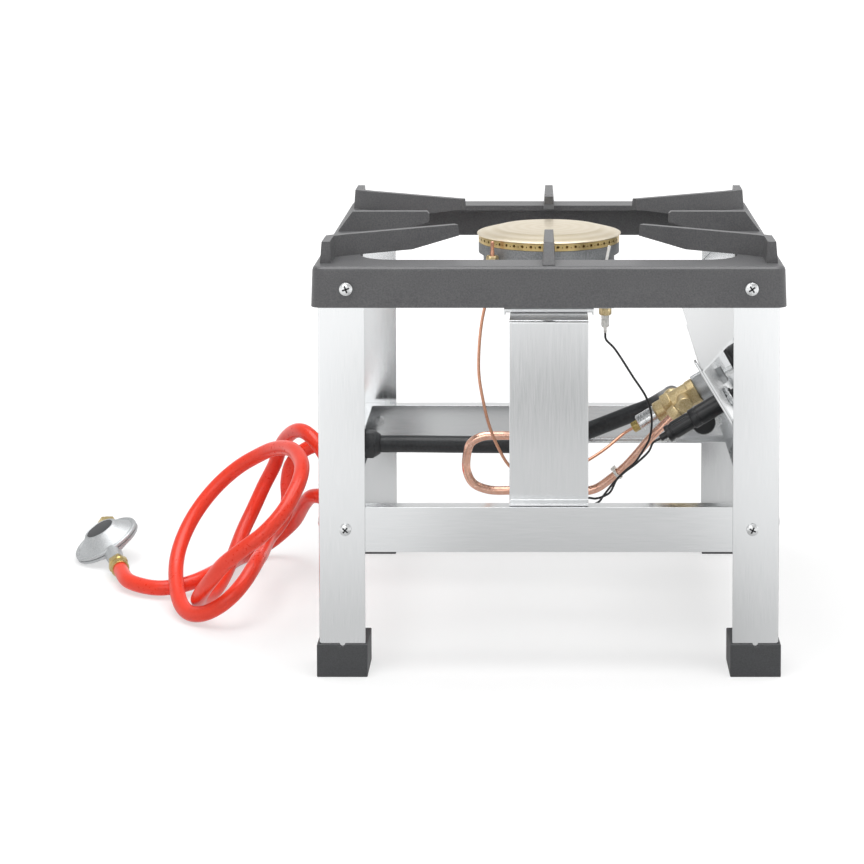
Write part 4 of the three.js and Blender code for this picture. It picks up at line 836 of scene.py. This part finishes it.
dressed("cap_washer", made(washer), zinc, "stand", slot="zinc", sharp=35)
stem = Shape().lathe([(0, -19), (4, -19), (4, 32.3), (3.3, 33), (0, 33)], valve, 32)
dressed("valve_stem", made(stem), zinc, "valve_spindle", ["valve_spindle"], "zinc", sharp=35)
knob = Shape().lathe([
    (4.3, 15), (24, 15), (24.7, 15.3), (25, 16), (25, 17.4), (24.4, 18.2), (20.8, 19.2), (20, 19.8), (19.2, 33),
    (18.4, 34.6), (17, 35.3), (15, 35.5), (0, 35.5), (0, 33.3), (4.3, 33.3),
], valve, 96)
knob.prism([(-18.6, -2.5), (18.6, -2.5), (18.6, 2.5), (-18.6, 2.5)], 19, 35.45, valve)
grip = Shape().prism([(-0.5, -1.1), (0.35, -0.7), (0.5, 0), (0.35, 0.7), (-0.5, 1.1)], 20.4, 32.6)
knob_mesh = joined(made(knob), ribs(grip, 36, 19.45, valve))
dressed("fluted_knob", knob_mesh, black_plastic, "control_knob", ["control_knob"], "black_plastic", sharp=32)
mark = Shape().prism([(9.5, -0.7), (17.6, -0.7), (17.6, 0.7), (9.5, 0.7)], 35.3, 35.6, valve)
dressed("knob_pointer", made(mark), nylon, "control_knob", slot="white_nylon")

# ---- igniter ----
spot = kit_frames["igniter"]
outline = [
    (0, -70), (2.4, -70), (3, -69.3), (3, -63.5), (6.6, -63.3), (7.5, -62.5), (7.5, -59), (7, -58.5),
    (7, -57.5), (7.5, -57), (7.5, -38), (8.6, -37.6), (9, -36.8), (9, -32), (8.6, -31.6), (8.6, -30.4),
    (9, -30), (9, -5), (10, -5), (10, -1.8), (7.5, -1.8), (7.5, 5.4), (7, 6), (5.7, 6), (5.7, -6.5), (0, -6.5),
]
splines = Shape().prism([(-0.4, -0.9), (0.5, -0.6), (0.5, 0.6), (-0.4, 0.9)], -56, -40)
piezo = joined(made(Shape().lathe(outline, spot, 48)), ribs(splines, 10, 7.4, spot))
dressed("piezo_body", piezo, black_plastic, "stand", ["igniter_body"], "black_plastic", sharp=32)
piezo_nut = Shape().hexagon(20, 4, spot @ at(0, 0, 0.3), bore=7.8)
dressed("piezo_nut", made(piezo_nut), zinc, "stand", ["igniter_nut"], "zinc", sharp=30)
button = [(0, -0.5), (5.4, -0.5), (5.4, 9.4), (5.1, 10.3), (4.4, 10.8), (3.6, 10.9), (3, 10.6), (0, 10.3)]
push_button = made(Shape().lathe(button, spot, 40))
dressed(
    "push_button", push_button, black_plastic, "igniter_button", ["igniter_button"], "black_plastic", sharp=40
)

# ---- pipes, nuts and leads ----
gas_route = [
    (-36.3, 0, 158.2), (-45, 0, 158.2), (-62, 0, 157.2), (-72.5, 0, 151.2), (-76, 0, 141), (-76.5, 0, 126),
    (-70.5, 0, 113.5), (-56, 0, 107.2), (-30, 0, 106.6), (0, 0, 106), (30, -1, 105.6), (44, -3, 109.3),
    (55, -5, 117.2), (71.6, -9, 132.3), (95.88, -14, 161.69), (107.19, -14, 173), (112.85, -14, 178.66),
]
gas_line = smooth_path(gas_route, 1.5)
gas_pipe = made(Shape().tube(gas_line, 4.0, 28))
dressed("bent_gas_pipe", gas_pipe, copper, "stand", ["copper_gas_pipe"], "copper", sharp=60)
supply_route = [
    (-163.6, 97, 126), (-143.6, 97, 126), (-4, 97, 126), (12, 97, 128.5), (40, 97, 139.5), (78, 97, 154.5),
    (98, 94, 163), (111.73, 82, 173.94), (116.73, 60.3, 182.94), (116.73, 46.3, 185.94), (116.73, 34.3, 185.94),
]
supply_pipe = Shape().tube(smooth_path(supply_route, 2.5), 8.25, 36)
dressed("black_supply_pipe", made(supply_pipe), pipe_paint, "stand", ["supply_pipe"], "black_pipe", sharp=60)
collar = Shape().hexagon(25, 21.5, aimed((-190.4, 97, 126), (-168.9, 97, 126)), chamfer=1.4)
collar.lathe(
    [(0, 0), (12.4, 0), (12.4, 1), (9.5, 5.5), (0, 5.5)], aimed((-169.4, 97, 126), (-163.9, 97, 126)), 40
)
dressed("pipe_union", made(collar), pipe_paint, "stand", ["supply_nut"], "black_pipe", sharp=30)
inlet = Shape().tube([(-200.2, 97, 126), (-191, 97, 126)], 8, 32)
inlet.hexagon(22, 4.6, aimed((-199.2, 97, 126), (-194.6, 97, 126)), chamfer=0.9)
dressed("inlet_barrel", made(inlet), forged_brass, "stand", ["inlet_connector"], "brass", sharp=30)
ferrule = Shape().hexagon(19, 12.8, aimed((-213.3, 97, 126), (-200.5, 97, 126)), chamfer=1.0)
dressed("inlet_hose_nut", made(ferrule), gold_nut, "stand", ["inlet_ferrule"], "brass", sharp=30)
nut_seat = outlet + way * 8.3
flare_nut = Shape().hexagon(14, 9, aimed(nut_seat, nut_seat + way * 9), chamfer=0.9)
dressed("outlet_flare_nut", made(flare_nut), forged_brass, "stand", ["outlet_nut"], "brass", sharp=30)

probe_route = [
    (-52, -51, 312), (-57, -50, 292), (-61, -49, 272), (-63.2, -49, 249), (-63.3, -49, 226), (-59.7, -49, 203),
    (-54.3, -48, 180), (-45.3, -46, 157), (-34, -43, 139), (-14, -38, 129), (10, -31, 130), (34, -20, 139),
    (52, -6, 147), (71.15, 10, 158.51), (78.01, 10, 162.63),
]
probe_tip = [(0, 309), (2, 309), (2, 338.5), (1.6, 339.5), (1.6, 347.4), (0.8, 348), (0, 348)]
probe = Shape().tube(smooth_path(probe_route, 2), 1.4, 14).lathe(probe_tip, at(-51, -51, 0), 20)
dressed("thermocouple_lead", made(probe), lead_copper, "stand", ["thermocouple"], "copper", sharp=40)
wire_route = [
    (51, -45, 263.5), (51.6, -45, 257.8), (59.2, -45, 249.5), (76.6, -44.4, 222.7), (88.2, -43.3, 204.4),
    (92.8, -42.2, 189.9), (93.5, -41, 176.9), (91, -39.4, 163.4), (86, -38.6, 154.1), (78.2, -37.2, 142.2),
    (69.4, -35.6, 134.1), (62, -33, 125.4), (56, -30, 113), (49.8, -27.2, 108.3), (42.7, -25.6, 105.9),
    (36, -26, 106.5), (32, -29, 104), (36, -31.5, 101.5), (45.1, -33.5, 104.6), (50.2, -38.9, 112.8),
    (60.1, -46.4, 127.7), (68.8, -53.9, 138.2), (78.6, -61.3, 147.8), (89.4, -70.5, 161), (93.34, -80, 171.87),
    (96.77, -80, 173.93), (99.34, -80, 175.47),
]
wire = Shape().tube(smooth_path(wire_route, 1.5), 1.0, 12)
dressed("ignition_lead", made(wire), wire_skin, "stand", ["ignition_wire"], "wire_black", sharp=60)
# The tie sits three quarters along the gas pipe.
tie_at = int(0.75 * (len(gas_line) - 1))
tie_way = Vector(gas_line[tie_at + 1] - gas_line[tie_at - 1]).normalized()
tie_spot = aimed(Vector(gas_line[tie_at]) - tie_way * 1.6, Vector(gas_line[tie_at]) + tie_way * 1.6)
tie = Shape().lathe([(4.6, 0.2), (5.8, 0.2), (5.8, 3), (4.6, 3)], tie_spot, 32)
tie.block((-2.4, 4.6, -0.5), (2.4, 7.4, 3.7), tie_spot)
dressed("tie_strap", made(tie), nylon, "stand", ["cable_tie"], "white_nylon", bevel=0.25, sharp=30)

# ---- regulator ----
reg = kit_frames["regulator"]
arms = reg @ at(0, 0, -4)
lower = Shape().lathe([
    (0, -12), (13, -12), (14.4, -11.6), (30.6, -3.4), (32.2, -3), (32.9, -2.2), (32.9, 0), (0, 0),
], reg, 96)
lower.lathe([
    (0, 4), (9, 4), (8.6, 30), (8.2, 38), (7.6, 41), (7.6, 53.7), (7, 54.5), (0, 54.5),
], arms @ turn("Y", 90), 40)
arm = arms @ turn("Z", -7) @ turn("Y", -90)
lower.lathe([(0, 4), (9, 4), (8, 28), (7, 31), (7, 35.3), (6.4, 36), (5, 36), (5, 50), (0, 50)], arm, 32)
dressed("regulator_casting", made(lower), die_cast, "stand", ["regulator_body"], "grey_cast", sharp=35)
rim = [
    (0, 0.3), (32.2, 0.3), (32.9, 0.8), (33, 1.4), (33, 2.6), (32.6, 3.5), (31.9, 4.2), (31, 4.4), (30, 4.2),
    (29.3, 3.6), (28.7, 3.4),
]
slope = [
    (28, 4), (22, 9), (18.6, 12), (17.2, 13.5), (16.1, 14.9), (15.4, 15.4), (14.5, 15.5), (14.1, 15.1),
    (0, 15.1),
]
bead = Shape().prism([(-5.6, -0.9), (5.2, -0.7), (5.2, 0.7), (-5.6, 0.9)], 0, 1)
bead.verts = [
    Vector((v.x, v.y * (2.2 - 1.8 * v.z), 3.6 + (5.2 - v.x) * 0.88 + (v.z - 0.5) * 1.8))
    for v in bead.verts
]
dome = joined(made(Shape().lathe(rim + slope, reg, 96)), ribs(bead, 2, 22.8, reg @ turn("Z", 144)))
dressed("regulator_dome", dome, die_cast, "stand", ["regulator_cover"], "grey_cast", sharp=40)
crown = Shape().lathe([(0, 15.05), (13.7, 15.05), (13.7, 15.25), (13.4, 15.35), (0, 15.35)], reg, 64)
dressed("regulator_badge", made(crown), cap_plastic, "stand", slot="cap_plastic", sharp=40)
hose_end = arms @ aimed((54.8, 0, 0), (56, 0, 0))
coupling = Shape().hexagon(17, 10, hose_end, chamfer=1.0)
coupling.lathe([
    (0, 10), (7.4, 10), (7.4, 11.2), (8.4, 11.8), (8.4, 18.8), (7.9, 19.7), (0, 19.7),
], hose_end, 40)
knurl = Shape().prism([(-0.4, -0.45), (0.3, -0.3), (0.3, 0.3), (-0.4, 0.45)], 12.4, 18.4)
coupling_mesh = joined(made(coupling), ribs(knurl, 30, 8.4, hose_end))
hose_coupling = dressed("hose_coupling", coupling_mesh, gold_nut, "stand", ["hose_nut"], "brass", sharp=30)
bottle = Shape().hexagon(20, 12, arm @ at(0, 0, 36.3), bore=5.3, chamfer=1.2)
dressed("bottle_nut", made(bottle), gold_nut, "regulator_nut", ["regulator_inlet_nut"], "brass", sharp=30)
